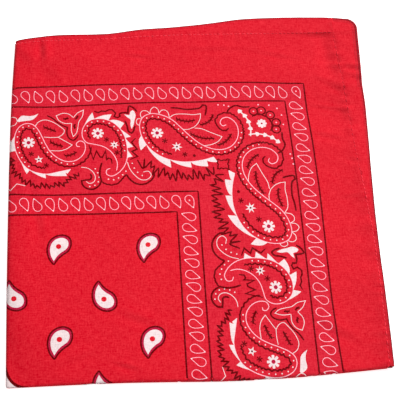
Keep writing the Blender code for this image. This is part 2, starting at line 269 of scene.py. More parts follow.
def drape(s, t, depth):
    """Where points of the flat cloth lie, at a depth under its print side, as an (n, 3) array."""
    s, t, depth = np.broadcast_arrays(*(np.asarray(v, float) for v in (s, t, depth)))
    plan_x = np.maximum(s, 2 * left_middle(t) - s)
    near = near_fold(plan_x)
    turned = near + CREASE_ROLL - t
    phase = np.clip(math.pi * turned / CREASE_LENGTH, 0, math.pi)
    y = near + CREASE_ROLL - (CREASE_ROLL - depth) * np.sin(phase)
    y = np.where(turned < 0, t, y) + np.maximum(turned - CREASE_LENGTH, 0)
    upper = (CREASE_CORE - depth) * np.cos(phase)
    under = (CREASE_UNDER - depth) * np.cos(phase)
    level = np.where(phase < math.pi / 2, upper, under)
    left = left_fold(y)
    wrapped = left + WRAP_ROLL - s
    angle = np.clip(math.pi / 2 * wrapped / WRAP_LENGTH, 0, math.pi)
    reach = (CREASE_CORE + level) / MIDDLE
    x = left + WRAP_ROLL * (1 - reach * np.sin(angle))
    x = np.where(wrapped < 0, s, x) + np.maximum(wrapped - 2 * WRAP_LENGTH, 0)
    z = MIDDLE + (CREASE_CORE + level) * np.cos(angle)
    lift = cloth_height(x, y) - groove(x, y)
    z = z + lift * np.clip(z / STACK, 0, None)
    return np.stack([x, y, z], -1)


def to_row(points):
    """Plan millimetres to the shared frame in metres."""
    return (points + np.array([SHIFT_X, SHIFT_Y, 0.0])) * MM


# ---- drawing tools, in millimetres on the flat cloth, a point being a complex number ----
Shape = namedtuple("Shape", "ink outline")
STEP = 0.95
SHARP = None
LEAST_LEAN = 0.45  # at a sharp corner a line's side steps out no further than this allows
BLUNT = 3.2  # a line's open end is narrower: its width over this, to each side
THINNEST = 1e-4  # a smaller triangle, in square millimetres, isn't drawn


def unit(vector):
    return vector / abs(vector) if abs(vector) > 1e-9 else 1.0 + 0.0j


def smooth(knots, step=STEP, closed=False):
    """Points a step apart along a smooth curve through the knots, with a corner at a knot before SHARP."""
    if SHARP in knots:
        cut = knots.index(SHARP)
        return smooth(knots[:cut], step)[:-1] + smooth([knots[cut - 1]] + knots[cut + 1:], step)
    at = [complex(*knot) for knot in knots]
    count = len(at)
    if closed:
        at = [at[-1]] + at + at[:2]
    else:
        at = [2 * at[0] - at[1]] + at + [2 * at[-1] - at[-2]]
    curve = []
    for i in range(count if closed else count - 1):
        before, start, end, after = at[i:i + 4]
        ahead, across, beyond = (math.sqrt(abs(b - a)) for a, b in zip(at[i:i + 3], at[i + 1:i + 4]))
        leave = (start - before) / ahead - (end - before) / (ahead + across) + (end - start) / across
        arrive = (end - start) / across - (after - start) / (across + beyond) + (after - end) / beyond
        pieces = max(1, round(abs(end - start) / step))
        for piece in range(pieces):
            t = piece / pieces
            hold = (1 + 2 * t) * (1 - t) ** 2
            bend = t * (1 - t) ** 2 * leave - t**2 * (1 - t) * arrive
            curve.append(hold * start + (1 - hold) * end + across * bend)
    return curve if closed else curve + [at[count]]


def side_steps(curve, closed=False):
    """The step to the right of each point, longer at a corner so that a line keeps its width."""
    steps = []
    last = len(curve) - 1
    for i, point in enumerate(curve):
        back = curve[i - 1] if i or closed else None
        ahead = curve[(i + 1) % len(curve)] if i < last or closed else None
        heading_in = unit(point - back) if back is not None else unit(ahead - point)
        heading_out = unit(ahead - point) if ahead is not None else heading_in
        middle = unit(heading_in + heading_out)
        lean = (middle * heading_out.conjugate()).real
        steps.append(-1j * middle / max(lean, LEAST_LEAN))
    return steps


def beside(curve, distance, end_distance=None):
    """The curve moved to its right, by a distance that may change along it."""
    end_distance = distance if end_distance is None else end_distance
    last = max(len(curve) - 1, 1)
    steps = side_steps(curve)
    return [
        point + steps[i] * (distance + (end_distance - distance) * i / last)
        for i, point in enumerate(curve)
    ]


def line(ink, curve, width, closed=False):
    """A drawn line: cells side by side along the curve, narrower at its open ends."""
    steps = side_steps(curve, closed)
    halves = [width / 2] * len(curve)
    if not closed:
        halves[0] = halves[-1] = width / BLUNT
    right = [p + s * h for p, s, h in zip(curve, steps, halves)]
    left = [p - s * h for p, s, h in zip(curve, steps, halves)]
    cells = []
    for i in range(len(curve) if closed else len(curve) - 1):
        after = (i + 1) % len(curve)
        cells += cell(ink, right[i], right[after], left[after], left[i])
    return cells


def area(outline):
    return sum((a.conjugate() * b).imag for a, b in zip(outline, outline[1:] + outline[:1])) / 2


def cell(ink, a, b, c, d):
    """One four-cornered cell of a line, or its two halves where a tight bend folds it."""
    if min(area(half) for half in ([a, b, c], [b, c, d], [c, d, a], [d, a, b])) > THINNEST:
        return [Shape(ink, [a, b, c, d])]
    halves = []
    for half in ([a, b, c], [a, c, d]):
        size = area(half)
        if abs(size) > THINNEST:
            halves.append(Shape(ink, half if size > 0 else half[::-1]))
    return halves


def fill(ink, outline):
    return [Shape(ink, outline if area(outline) > 0 else outline[::-1])]


def dot(ink, centre, radius, sides=8):
    return fill(ink, [centre + cmath.rect(radius, 2 * math.pi * i / sides) for i in range(sides)])


def spaced(curve, pitch):
    """Points a pitch apart along a curve."""
    found, owed = [], pitch / 2
    for start, end in zip(curve, curve[1:]):
        length = abs(end - start)
        while owed <= length:
            found.append(start + (end - start) * owed / length)
            owed += pitch
        owed -= length
    return found


def stretch(curve, start, end):
    """The part of a curve between the points nearest to two others."""
    first, last = (
        min(range(len(curve)), key=lambda i: abs(curve[i] - complex(*place))) for place in (start, end)
    )
    return curve[first:last + 1] if first <= last else curve[last:first + 1][::-1]


def drawn(*drawings):
    """Several drawings as one, each over the ones before it."""
    return [shape for drawing in drawings for shape in drawing]


# ---- the strokes and small motifs of the border ----
RIM, LEAF_LINE, CONTOUR, ZIGZAG = 0.56, 0.46, 1.35, 1.15
WHITE_DOT, SMALL_DOT = 0.51, 0.6
SCALLOP, UNEVEN, UNEVEN_PACE = 3.2, 0.9, 0.33  # the length of a scallop, and how unlike they are
BLADE, BLADE_LEAN = 0.5, 0.45  # a blade of grass: its share of the height, and how far it leans
BLADE_UNEVEN = ((0.26, 2.1), (0.18, 0.9))  # how much its height varies, and how soon
GRASS_LINE, GRASS_STEP = 1.2, 1.3
VEIN, VEIN_STEP, BARB_LINE, BARB_LEAN = 1.45, 1.2, 1.0, 0.6
PETAL = ((-0.27, 0.97), (0.0, 1.0), (0.27, 0.97))  # its corners: the place across it, and the reach
STAR_POINT, STAR_NOTCH, STAR_TURN = 1.08, 0.43, 0.53
SPOKE_TURN = 0.3
RING_CORNERS, RING_STEP = 7, 0.9


def white(*knots):
    return line("white", smooth(list(knots)), LEAF_LINE)


def black(*knots, width=CONTOUR):
    return line("black", smooth(list(knots)), width)


def leaf(*knots):
    return fill("white", smooth(list(knots)))


def zigzag(*corners):
    return line("black", [complex(*corner) for corner in corners], ZIGZAG)


def specks(*places):
    return drawn(*(dot("pink", complex(*place), SMALL_DOT) for place in places))


def dots_beside(curve, distance, pitch):
    return drawn(*(dot("white", point, WHITE_DOT) for point in spaced(beside(curve, distance), pitch)))


def scalloped(curve, width=1.2, rise=1.15):
    """A black line of small uneven bows along a curve, bulging to its right."""
    bows, travelled = [], 0.0
    steps = side_steps(curve)
    for i, point in enumerate(curve):
        if i:
            travelled += abs(point - curve[i - 1])
        phase = math.pi * travelled / SCALLOP + UNEVEN * math.sin(UNEVEN_PACE * travelled)
        bows.append(point + steps[i] * rise * (abs(math.sin(phase)) - 0.5))
    return line("black", bows, width)


def grass(*knots, pitch=3.3, height=2.9):
    """A black zigzag of blades along a curve, uneven in height, leaning forward."""
    points = spaced(smooth(list(knots)), pitch / 2)
    steps = side_steps(points)
    blades = []
    for i, point in enumerate(points):
        rise = height * sum((share * math.sin(i * pace) for share, pace in BLADE_UNEVEN), BLADE)
        side = 1 if i % 2 else -1
        blades.append(point + steps[i] * (side * rise) + steps[i] * 1j * (side * BLADE_LEAN))
    return line("black", smooth([(p.real, p.imag) for p in blades], GRASS_STEP), GRASS_LINE)


def tooth(rim, start, end, tip, growth=1.3):
    """A white tooth on a rim, widening from one point of it to another, where its tip stands off."""
    base = stretch(rim, start, end)
    across = complex(*tip) - base[-1]
    last = len(base) - 1
    outer = [point + across * (i / last) ** growth for i, point in enumerate(base)]
    return fill("white", base + outer[:0:-1])


def vein(*knots, barb=1.8, pitch=1.4):
    """A black leaf vein with short barbs, to the right and the left in turn."""
    curve = smooth(list(knots), VEIN_STEP)
    shapes = line("black", curve, VEIN)
    points = spaced(curve, pitch)
    steps = side_steps(points) if len(points) > 1 else []
    for i, step in enumerate(steps):
        side = step * (1 if i % 2 else -1)
        lean = side * 1j * (BARB_LEAN if i % 2 else -BARB_LEAN)
        shapes += line("black", [points[i], points[i] + barb * (side - lean)], BARB_LINE)
    return shapes


def flower(centre, petals, radius, eye=1.5, notch=0.52):
    """A white flower of square-ended petals round a deep red eye."""
    outline = []
    for petal in range(petals):
        for share, reach in ((-0.5, notch), *PETAL):
            turn = 2 * math.pi * (petal + share) / petals
            outline.append(complex(*centre) + cmath.rect(radius * reach, turn))
    return fill("white", outline) + dot("crimson", complex(*centre), eye, 9)


def star(centre, points, radius, eye=0.8):
    """A white star round a dark eye."""
    outline = []
    for i in range(2 * points):
        reach = radius * (STAR_NOTCH if i % 2 else STAR_POINT)
        outline.append(complex(*centre) + cmath.rect(reach, math.pi * (i / points + STAR_TURN)))
    return fill("white", outline) + dot("black", complex(*centre), eye, 6)


def asterisk(centre, radius=2.2, arms=3, width=1.3):
    """Short black strokes that cross at their middles."""
    shapes = []
    for arm in range(arms):
        spoke = cmath.rect(radius, math.pi * (arm + SPOKE_TURN) / arms)
        shapes += line("black", [complex(*centre) - spoke, complex(*centre) + spoke], width)
    return shapes


def ring(centre, radius=3.3):
    """A black ring round a small dot."""
    turns = [2 * math.pi * k / RING_CORNERS for k in range(RING_CORNERS)]
    knots = [(centre[0] + radius * math.cos(turn), centre[1] + radius * math.sin(turn)) for turn in turns]
    return line("black", smooth(knots, RING_STEP, closed=True), ZIGZAG, closed=True) + specks(centre)


# ---- the motifs of one side of the border, from the cloth's middle line to its corner ----
SMALL_RIM = [
    (43.5, 159.9), (35, 158), (26, 156.3), (18, 157.8), (11.5, 161.5), (6.8, 168), (3.8, 175),
    (2.4, 182.5), (3, 190), (5.8, 195.8), (10.5, 198.6), (15.5, 197.9), (19.3, 194), (22.3, 188),
    (25, 181.5), (28.5, 175), (33.5, 169.8), (40, 166.5), (46.5, 166.9), (52, 171), (54.4, 177),
    (53.5, 181.8), (50.5, 183.2), (47.8, 181), (48.3, 178.8), (50.3, 178.6),
]


def small_paisley():
    """The paisley beside the cloth's middle line: its tail curls up under two leaves."""
    rim = smooth(SMALL_RIM)
    inside = stretch(rim, (24, 156.4), (54.2, 178.5))
    return drawn(
        scalloped(beside(inside, 4.6, 3.9)),
        dots_beside(stretch(rim, (14, 160), (48.5, 168)), 2.1, 4.5),
        line("pink", rim, RIM),
        tooth(rim, (7, 167.5), (14, 159.7), (11.6, 156.8)),
        tooth(rim, (14, 159.7), (25.5, 156.3), (25.4, 152.9), 0.9),
        tooth(rim, (25.5, 156.3), (38.5, 158.7), (40.6, 154.5), 0.7),
        tooth(rim, (36, 158.2), (43.5, 159.9), (41, 156.4)),
        tooth(rim, (2.6, 188.5), (3.7, 176.0), (-1.6, 175.6), 0.8),
        flower((12.8, 182.5), 8, 4.6),
        star((20.3, 168.3), 5, 3.1),
        asterisk((14.8, 173)),
        asterisk((25.6, 163.4)),
        white(
            (17.6, 196.2), (20, 199.8), (24.5, 201.5), (30.5, 199.6), (36, 195.6), (39.1, 192.3),
            (37.8, 189), (34.5, 186.6), SHARP, (29, 186.5), (24, 187),
        ),
        vein((23.5, 195.7), (28, 193.6), (33, 191.4)),
        white(
            (34.5, 186.6), (39.5, 183.3), (44.7, 180), SHARP, (41, 177), (36.5, 175.4), (28.5, 175.5),
        ),
        vein((28.3, 183.2), (32, 180.8), (38, 179)),
        vein((39, 171), (43, 171.4), (48, 174)),
    )


MIDDLE_RIM = [
    (76.8, 158), (77.6, 163.5), (76, 169.5), (72.3, 174.8), (67, 178.5), (61, 180.2), (55.5, 181.7),
    (52.6, 186), (52.3, 191.5), (54.5, 197), (58.8, 200.8), (64.5, 202), (70.5, 201), (76, 198),
    (80.6, 193), (83.6, 187), (85, 180.5), (85.4, 173.5), (84.6, 166.5), (82, 160.5), (78, 156),
    (73, 153.6), (69.5, 155.3), (69.7, 158.8), (72.3, 160),
]


def middle_paisley():
    """The paisley that hangs down, with teeth over its head and down its back."""
    rim = smooth(MIDDLE_RIM)
    return drawn(
        scalloped(beside(stretch(rim, (55.5, 181.7), (84.8, 167)), 4.3)),
        dots_beside(stretch(rim, (53, 190), (85, 170)), 2.1, 4.5),
        line("pink", rim, RIM),
        tooth(rim, (53.8, 196), (62, 201.8), (60.2, 207.4)),
        tooth(rim, (61.5, 201.8), (72, 200.4), (74.6, 205.5), 0.85),
        tooth(rim, (73, 199.8), (80.5, 193), (83.8, 197.6), 0.6),
        tooth(rim, (80.5, 193), (84.2, 185), (88.3, 186)),
        tooth(rim, (84.2, 185), (85.3, 176.8), (89.8, 177.6)),
        tooth(rim, (85.4, 176), (85, 168.5), (89, 169.5)),
        flower((63.8, 189.4), 8, 4.5),
        star((75.9, 179.5), 7, 3.4),
        asterisk((70.2, 184)),
        asterisk((77.6, 173)),
    )


LARGE_RIM = [
    (149.5, 167.5), (142, 165.3), (133, 164), (124, 164.3), (115, 166.7), (107.5, 170.7),
    (101.5, 176.5), (97.5, 183.5), (95.5, 190.5), (95.6, 197.5), (98.5, 203), (104, 205.5),
    (110, 204.9), (116, 202.5), (121, 199), (126, 193.5), (131, 187.7), (137, 181.5), (143, 177),
    (150, 174.2), (157, 173.8), (163.5, 176.5), (168.3, 182.5), (169.8, 190), (167.8, 197),
    (162.5, 201.3), (158, 200), (156.5, 196.2), (158.5, 193.8), (161, 194.8),
]


def large_paisley():
    """The paisley beside the corner, its tail in a wide curl, with loops over its head."""
    rim = smooth(LARGE_RIM)
    return drawn(
        scalloped(beside(stretch(rim, (117, 166), (161, 194.8)), 4.7, 3.7)),
        dots_beside(stretch(rim, (112, 168), (169.5, 192)), 2.4, 4.6),
        line("pink", rim, RIM),
        tooth(rim, (96.4, 187), (100, 179), (95.4, 174.4), 0.35),
        tooth(rim, (100, 179), (116.5, 166.2), (117.2, 159.5), 0.55),
        tooth(rim, (116.5, 166.2), (131.5, 164), (132.3, 159.1), 0.75),
        tooth(rim, (131.5, 164), (144.2, 165.9), (144.8, 159.7), 0.5),
        tooth(rim, (143, 165.6), (149.5, 167.5), (152.2, 163), 0.5),
        flower((108.2, 188.8), 8, 4.6),
        star((122.4, 176.8), 7, 3.9),
        asterisk((113.6, 182)),
        asterisk((128, 170.2)),
        asterisk((135, 169), 1.2),
        white((96.6, 201), (94.3, 201.4), (92.9, 199), (93.6, 196.6), (95.4, 195.6)),
        white((97.2, 201.5), (96.2, 205.2), (98, 208), (101.2, 207.8), (103.6, 205.4)),
        white((103.6, 205.4), (104.4, 209.2), (107, 211.2), (109.6, 209.4), (110.4, 205.2)),
        white((110.4, 205.2), (112, 208), (114.6, 208.6), (117, 206.8), (118.2, 201.6)),
        white(
            (118.2, 201.8), (122, 204.4), (130, 204.8), (136, 204.1), (142, 204.8), SHARP,
            (141.4, 200.5), (139.5, 196.5), (136.6, 193.4), SHARP, (132, 191.5), (127.6, 191.4),
        ),
        vein((123, 200.8), (127, 199.2), (132, 198.4), (137.5, 199.2)),
        white(
            (136.6, 192.4), (142, 191.6), (149, 188.2), (157, 184.6), SHARP, (154, 180.8), (149, 178.2),
            (142.5, 177),
        ),
        vein((133, 187.8), (138, 185), (144, 183.3), (151, 183.4)),
        vein((141, 195), (145, 196), (149, 198.8), (151.8, 204)),
        vein((153, 177.4), (157, 178.8), (161, 182), (164.4, 187)),
    )


def between_paisleys():
    """What fills the ground of the border between its paisleys."""
    return drawn(
        white(
            (46, 203.2), (42.5, 206.2), (38.5, 207), (33.2, 205), SHARP, (35, 201), (39, 198.4),
            (44.6, 198.2),
        ),
        white((46, 203.2), (49, 207), (53.6, 209.6), SHARP, (52.6, 204), (50, 199.6), (49.3, 196)),
        white((44.6, 198.2), (44.3, 192), (45.7, 187), SHARP, (48, 190), (49.4, 196)),
        vein((38.5, 202), (42.5, 202.6), barb=1.2),
        vein((47.5, 201.5), (49.5, 204.8), barb=1.0),
        vein((46.6, 197.5), (46.7, 193.5), barb=1.2),
        black(
            (26.3, 205.3), (30.5, 202.7), (34.5, 198.8), (38.5, 196.1), (41.4, 194.8), SHARP,
            (40.9, 190), (42.8, 185.3), (45.7, 183.9), (48.2, 186), (49.4, 188.6), width=1.15,
        ),
        leaf(
            (4, 201), (7.6, 205.3), (13, 205), (16.5, 205.4), (20, 207), SHARP, (18, 204),
            (15.5, 201.8), (10, 200.9), (5.5, 200.1),
        ),
        white((4.4, 200.6), (3.6, 203.4), (0, 204.8)),
        white((4.4, 200.6), (2.8, 197.8), (-0.4, 197)),
        white((0, 143.6), (4.6, 148.8), SHARP, (11, 147)),
        grass(
            (-0.5, 171), (0.6, 164), (3.4, 158), (6.5, 154), (10, 151), (14, 148.5), (18.5, 146.8),
            (25, 146.6), (33, 147), (38.5, 148.5), (42.5, 151.5), (46, 154.5), (50.5, 156.3),
        ),
        white(
            (51, 161.4), (55.5, 160.6), (59.5, 157.3), (61.2, 153), (60, 149.2), (57, 148),
            (54.5, 149.6),
        ),
        dots_beside(smooth([(58, 160.5), (61.2, 153), (60, 149.2), (55, 148)]), -2.7, 3.8),
        black(
            (66.2, 164.8), (64.8, 159.5), (64.6, 154), (65.6, 149.8), SHARP, (63.5, 145.8),
            (59.5, 143.3), (55, 144), (51.8, 147), (51.2, 150.4), SHARP, (54.5, 150.9), (57.4, 151.2),
            (58.4, 153.2), (57.6, 155.8),
        ),
        scalloped(
            smooth([(66, 149), (69, 147.2), (73, 146.4), (77.4, 147.6), (80.6, 151), (83.8, 154.8)]),
            rise=0.4,
        ),
        black(
            (83.8, 154.8), (86.2, 150.8), (91, 147), (97, 146.6), (101.8, 149.5), (104.2, 153.2),
            (104.2, 156),
        ),
        white(
            (85, 165), (86.5, 159.5), (90, 154), (94.5, 150.2), (99.5, 150.5), (102.1, 154), (100, 157),
            (96.3, 156.4),
        ),
        dots_beside(smooth([(85, 165), (86.5, 159.5), (90, 154), (95, 150)]), -3.2, 4.2),
        dots_beside(smooth([(70, 154.8), (74, 153.6), (79, 156.5), (83, 162)]), 3.1, 3.9),
        zigzag(
            (57, 179.6), (60, 167.6), (62.5, 174.6), (65, 169.6), (66.8, 169.2), (69.2, 174.6),
            (69.8, 167.2), (71.2, 168.6), (73.2, 167.6), (73.7, 163.8),
        ),
        leaf(
            (84, 205.3), (88, 204.8), (88.6, 207.2), (90.5, 208.7), (92, 207), (92.6, 203.8),
            (91.7, 200.5), (90.9, 196.5), (89.3, 192.6), SHARP, (88.4, 196), (88.6, 200.6), (86, 203),
        ),
        black(
            (81, 203), (80.6, 205.8), (84, 206.8), (86.8, 206.3), SHARP, (87.2, 209.8), (88, 212.4),
            (91, 210.9), (93.8, 207.4),
        ),
        black((84.4, 199.6), (85.8, 195.4), (86.8, 190.6), (89, 189.2), (90.7, 191.4), (91.8, 195.2)),
        zigzag(
            (61.5, 208.4), (64.5, 207), (67, 208.4), (70, 208.1), (72.5, 209.4), (75.2, 209.4),
            (77.6, 206.5), (76.4, 203.6), (79, 202.4), (80.8, 203.8),
        ),
        zigzag((91.8, 184.8), (88.7, 181.2), (92.6, 175.4), (88.7, 173.6), (92.7, 169.4), (87.2, 167)),
        grass(
            (92.5, 163.6), (97, 164.2), (101, 161.6), (105, 158), (110, 155.2), (115, 153.4),
            (120, 152.4), (128, 152.2), (136, 152.4), (142, 152.6), (146, 155), (150, 155.4), pitch=4.0,
            height=5.6,
        ),
        black(
            (119.5, 210.4), (125, 210), (131, 208.9), (137, 209.1), (142, 210), (144, 212.4), SHARP,
            (146.6, 211.8), (146.4, 207), (145.4, 203.2),
        ),
        specks((156, 212.4), (160.5, 212), (164, 211)),
    )


def side_motifs():
    return small_paisley() + middle_paisley() + large_paisley() + between_paisleys()


# ---- the corner ----
CORNER_SHIFT = 7.2  # the corner's own diagonal runs through points whose y is this much more than x
GARLAND = ((179.2, 191.2, 80), (178.3, 197, 100), (175.9, 202.4, 118), (172.4, 206.4, 125))
LEAFLET_SIZE = 2.2
LEAFLET = ((0, 1.0), (0.16, 0.74), (0.3, 0.95), (0.42, 0.65), (0.58, 0.65), (0.7, 0.95), (0.84, 0.74))


def leaflet(x, y, heading):
    """A small three-lobed leaf of the corner's garland."""
    along = cmath.rect(LEAFLET_SIZE, math.radians(heading))
    turned = [along * reach * cmath.rect(1, -2 * math.pi * share) for share, reach in LEAFLET]
    return fill("white", [complex(x, y) + point for point in turned])


def corner_motif():
    stem = smooth([(178.8, 184.6), (179.4, 190.5), (178.3, 197), (175.7, 202.6), (172, 207)])
    half = drawn(
        line("white", stem, 1.0),
        *(leaflet(*place) for place in GARLAND),
        ring((183, 206.3)),
        ring((189, 206.9)),
        specks((187.2, 212.2), (195.5, 211.7), (201.5, 208.8)),
        black((162.4, 205.2), (164.2, 208.6), (169.5, 211.6), (175, 210.2), (180.5, 210.4)),
    )
    return drawn(
        half,
        mirrored(half, lambda p: complex(p.imag - CORNER_SHIFT, p.real + CORNER_SHIFT)),
        ring((195.7, 202.9)),
        scalloped(
            smooth([(181.4, 201.8), (187.2, 203.4), (193.2, 200.6), (196.2, 194.6), (194.8, 188.8)]),
            rise=-0.5,
        ),
        flower((188.4, 195.5), 8, 3.9, 0.8, 0.72),
        scalloped(
            smooth([
                (151.4, 157), (152, 161), (151.6, 165.4), SHARP, (156.4, 164.6), (161.2, 166), SHARP,
                (159.8, 161), (160.6, 156.6), SHARP, (156, 157.8), (151.4, 157),
            ]),
            1.0, 1.0,
        ),
    )


def mirrored(shapes, change):
    """The shapes seen in a mirror, each outline turned so that it still runs anticlockwise."""
    return [Shape(shape.ink, [change(point) for point in reversed(shape.outline)]) for shape in shapes]


# ---- the border lines and the rows of drops ----
BORDER_LINE, LINE_STEP = 1.2, 4.0
# The four lines of the border's upper side, from the inmost to the outermost, and those of its right side.
TOP_LINES = (
    [(-4, 124.3), (25, 123.8), (60, 123.6), (90, 123.5), (119.4, 123.6)],
    [(-4, 140.8), (25, 139.2), (60, 139.4), (100, 139.8), (135.8, 139.6)],
    [(-4, 213.4), (28, 212.5), (55, 213.6), (95, 215), (140, 215.2), (185, 215.6), (208.4, 215.2)],
    [
        (-4, 229.6), (36, 230.4), (66, 231.5), (105, 232), (143, 231.9), (183, 232.2), (208, 230.8),
        (224.6, 230.3),
    ],
)
SIDE_LINES = (
    [(119.2, -6), (119.3, 60), (119.4, 123.6)],
    [(136, -6), (135.8, 70), (135.8, 139.6)],
    [(210, -6), (210.2, 60), (210.4, 140), (209.6, 180), (208.4, 215.2)],
    [(227, -6), (225.3, 52), (226.5, 134), (226, 170), (224.8, 210), (224.6, 230.3)],
)
FOLD_SHADE_WIDTH, FOLD_SHADE_ASIDE = 1.5, 0.2


def fold_shade_line():
    """A line of painted shade along the second fold, where the cloth turns under."""
    curve = [complex(float(left_middle(t)) + FOLD_SHADE_ASIDE, t) for t in range(268, 18, -3)]
    return line("deep shade red", curve, FOLD_SHADE_WIDTH)


def ground(ink, outer, inner):
    """The ground between two border lines, a little duller than the rest of the red."""
    out, back = (
        smooth(TOP_LINES[k], LINE_STEP)[:-1] + smooth(SIDE_LINES[k], LINE_STEP)[::-1] for k in (outer, inner)
    )
    return fill(ink, out + back[::-1])


def border_grounds():
    return ground("strip red", 3, 2) + ground("border red", 2, 1) + ground("pale strip red", 1, 0)


def border_lines():
    shapes = []
    for knots in TOP_LINES + SIDE_LINES:
        shapes += line("black", smooth(knots, LINE_STEP), BORDER_LINE)
    return shapes


DROP_LINE, DROP_STEP = 0.42, 1.1
TIP_SHARE = 0.34  # how much of a small drop's first and last side its solid tip takes up
# A small drop, tip up and a little left: from its tip round its body.
SMALL_DROP = [
    (-2.5, 5.3), (-3.0, 1.8), (-2.8, -2.0), (-1.0, -4.7), (1.5, -5.0), (3.3, -3.2), (3.2, -0.6), (0.6, 2.2),
    (-2.5, 5.3),
]
UP, DOWN = (lambda p: p), (lambda p: -p)
RIGHT, LEFT = (lambda p: complex(p.imag, p.real)), (lambda p: -complex(p.imag, p.real))


def small_drop(centre, facing):
    at = [complex(*centre) + facing(complex(*knot)) for knot in SMALL_DROP]
    tip = [at[0], at[0] + TIP_SHARE * (at[1] - at[0]), at[0] + TIP_SHARE * (at[-2] - at[0])]
    return line("pink", smooth([(p.real, p.imag) for p in at], DROP_STEP), DROP_LINE) + fill("white", tip)


def between(tables, at, along=0):
    """The coordinate half way between two border lines."""
    found = []
    for table in tables:
        rows = sorted((row[along], row[1 - along]) for row in table)
        for low, high in zip(rows, rows[1:]):
            if low[0] <= at <= high[0]:
                found.append(low[1] + (high[1] - low[1]) * (at - low[0]) / (high[0] - low[0]))
                break
        else:
            found.append(rows[0][1] if at < rows[0][0] else rows[-1][1])
    return sum(found) / 2


DropRow = namedtuple("DropRow", "start pitch count")
OUTER_TOP, INNER_TOP = DropRow(1.0, 9.375, 22), DropRow(0.9, 9.13, 13)
OUTER_SIDE, INNER_SIDE = DropRow(211, -9.31, 24), DropRow(119.5, -8.975, 15)
CLOSER, CLOSER_FROM = 0.4, 19  # the outer side's drops stand this much closer from that drop on
INNER_SIDE_X = 127.7


def top_drops():
    shapes = []
    for row, lines in ((OUTER_TOP, TOP_LINES[2:]), (INNER_TOP, TOP_LINES[:2])):
        for k in range(1, row.count + 1):
            x = row.start + row.pitch * k
            shapes += small_drop((x, between(lines, x)), DOWN if k % 2 else UP)
    return shapes


def side_drops():
    shapes = []
    for k in range(OUTER_SIDE.count):
        y = OUTER_SIDE.start + OUTER_SIDE.pitch * k + CLOSER * max(k - CLOSER_FROM, 0)
        shapes += small_drop((between(SIDE_LINES[2:], y, 1), y), LEFT if k % 2 else RIGHT)
    for k in range(INNER_SIDE.count):
        y = INNER_SIDE.start + INNER_SIDE.pitch * k
        shapes += small_drop((INNER_SIDE_X, y), RIGHT if k % 2 else LEFT)
    return shapes


def corner_drops():
    """The drop in each strip's corner, with a dot in its body."""
    shapes = []
    for x, y in ((129.2, 131.4), (218.2, 222.6)):
        shapes += small_drop((x, y), DOWN) + dot("pink", complex(x - 0.2, y + 1.0), SMALL_DOT)
    return shapes


def fold_drops():
    return small_drop((OUTER_TOP.start, 221.5), UP) + small_drop((INNER_TOP.start, 131.7), UP)


# A large field drop, tip down, from its tip round its body, about its own dot, and the dark rim round it.
FIELD_DROP = [
    (-3.6, -11.4), (-5.6, -7.0), (-6.2, -2.0), (-4.8, 2.8), (-1.4, 6.0), (3.0, 6.8), (6.3, 5.0),
    (7.2, 1.6), (5.6, -2.0), (1.8, -4.8), (-1.2, -7.6), (-3.6, -11.4),
]
FIELD_RING = [
    (-3.4, -13.8), (-6.6, -9.2), (-8.0, -2.4), (-6.2, 4.0), (-1.8, 7.8), (3.6, 8.6), (7.8, 6.2),
    (8.8, 1.6), (6.9, -3.4), (2.6, -6.6), (-0.6, -9.6), (-3.4, -13.8),
]
WHITE_SHARE = 0.96  # the white body's size, as a share of its table
FIELD_LINE, FIELD_DOT = 1.2, 1.9


def field_drop(centre, tip_up):
    sign = -1 if tip_up else 1
    inner = [(centre[0] + WHITE_SHARE * x, centre[1] + sign * WHITE_SHARE * y) for x, y in FIELD_DROP]
    outer = [(centre[0] + x, centre[1] + sign * y) for x, y in FIELD_RING]
    shapes = fill("crimson", smooth(outer)[:-1])
    shapes += line("black", smooth(outer), FIELD_LINE)
    shapes += fill("white", smooth(inner)[:-1])
    shapes += dot("red", complex(*centre), FIELD_DOT, 12)
    return shapes


def field_drops():
    shapes = []
    for x, y, tip_up in (
        (34.1, 99.1, False), (97.2, 98.4, False), (34.1, 31.2, False), (97.1, 29.2, False),
        (64.9, 58.7, True), (63.6, -5.2, True),
    ):
        shapes += field_drop((x, y), tip_up)
    return shapes


# The edge of the drop that the folds leave at the corner, and the point that closes it.
CORNER_DROP = [
    (-3.5, 16.5), (-1.6, 12.0), (-0.1, 7.9), (1.8, 4.7), (4.2, 2.3), (7.0, 0.8), (10.5, -0.3), (15, -1.6),
]
CORNER_DROP_END, CORNER_DROP_LINE = (-3.5, -1.6), 1.9
FOLD_DROP_PLACE = (3.3, 61.5)


def fold_field_drops():
    edge = smooth(CORNER_DROP)
    corner = fill("white", [complex(*CORNER_DROP_END)] + edge)
    return field_drop(FOLD_DROP_PLACE, True) + corner + line("black", edge, CORNER_DROP_LINE)


SIDE_STRETCH = 1.053  # the border's right side is longer than its upper side
SIDE_IN, SIDE_DOWN = 3.4, 3.9  # and it lies nearer to the cloth's middle lines


def to_side(p):
    """From the border along the cloth's far edge to the border along its right edge."""
    return complex(p.imag - SIDE_IN, SIDE_STRETCH * p.real - SIDE_DOWN)


def half_print():
    """The print right of the cloth's middle line."""
    motifs = side_motifs()
    return (
        border_lines() + motifs + mirrored(motifs, to_side) + corner_motif() + top_drops() + side_drops()
        + corner_drops() + field_drops()
    )


def whole_print():
    shapes = []
    for half in (border_grounds(), half_print()):
        shapes += half + mirrored(half, lambda p: complex(-p.real, p.imag))
    return shapes + fold_drops() + fold_field_drops() + fold_shade_line()


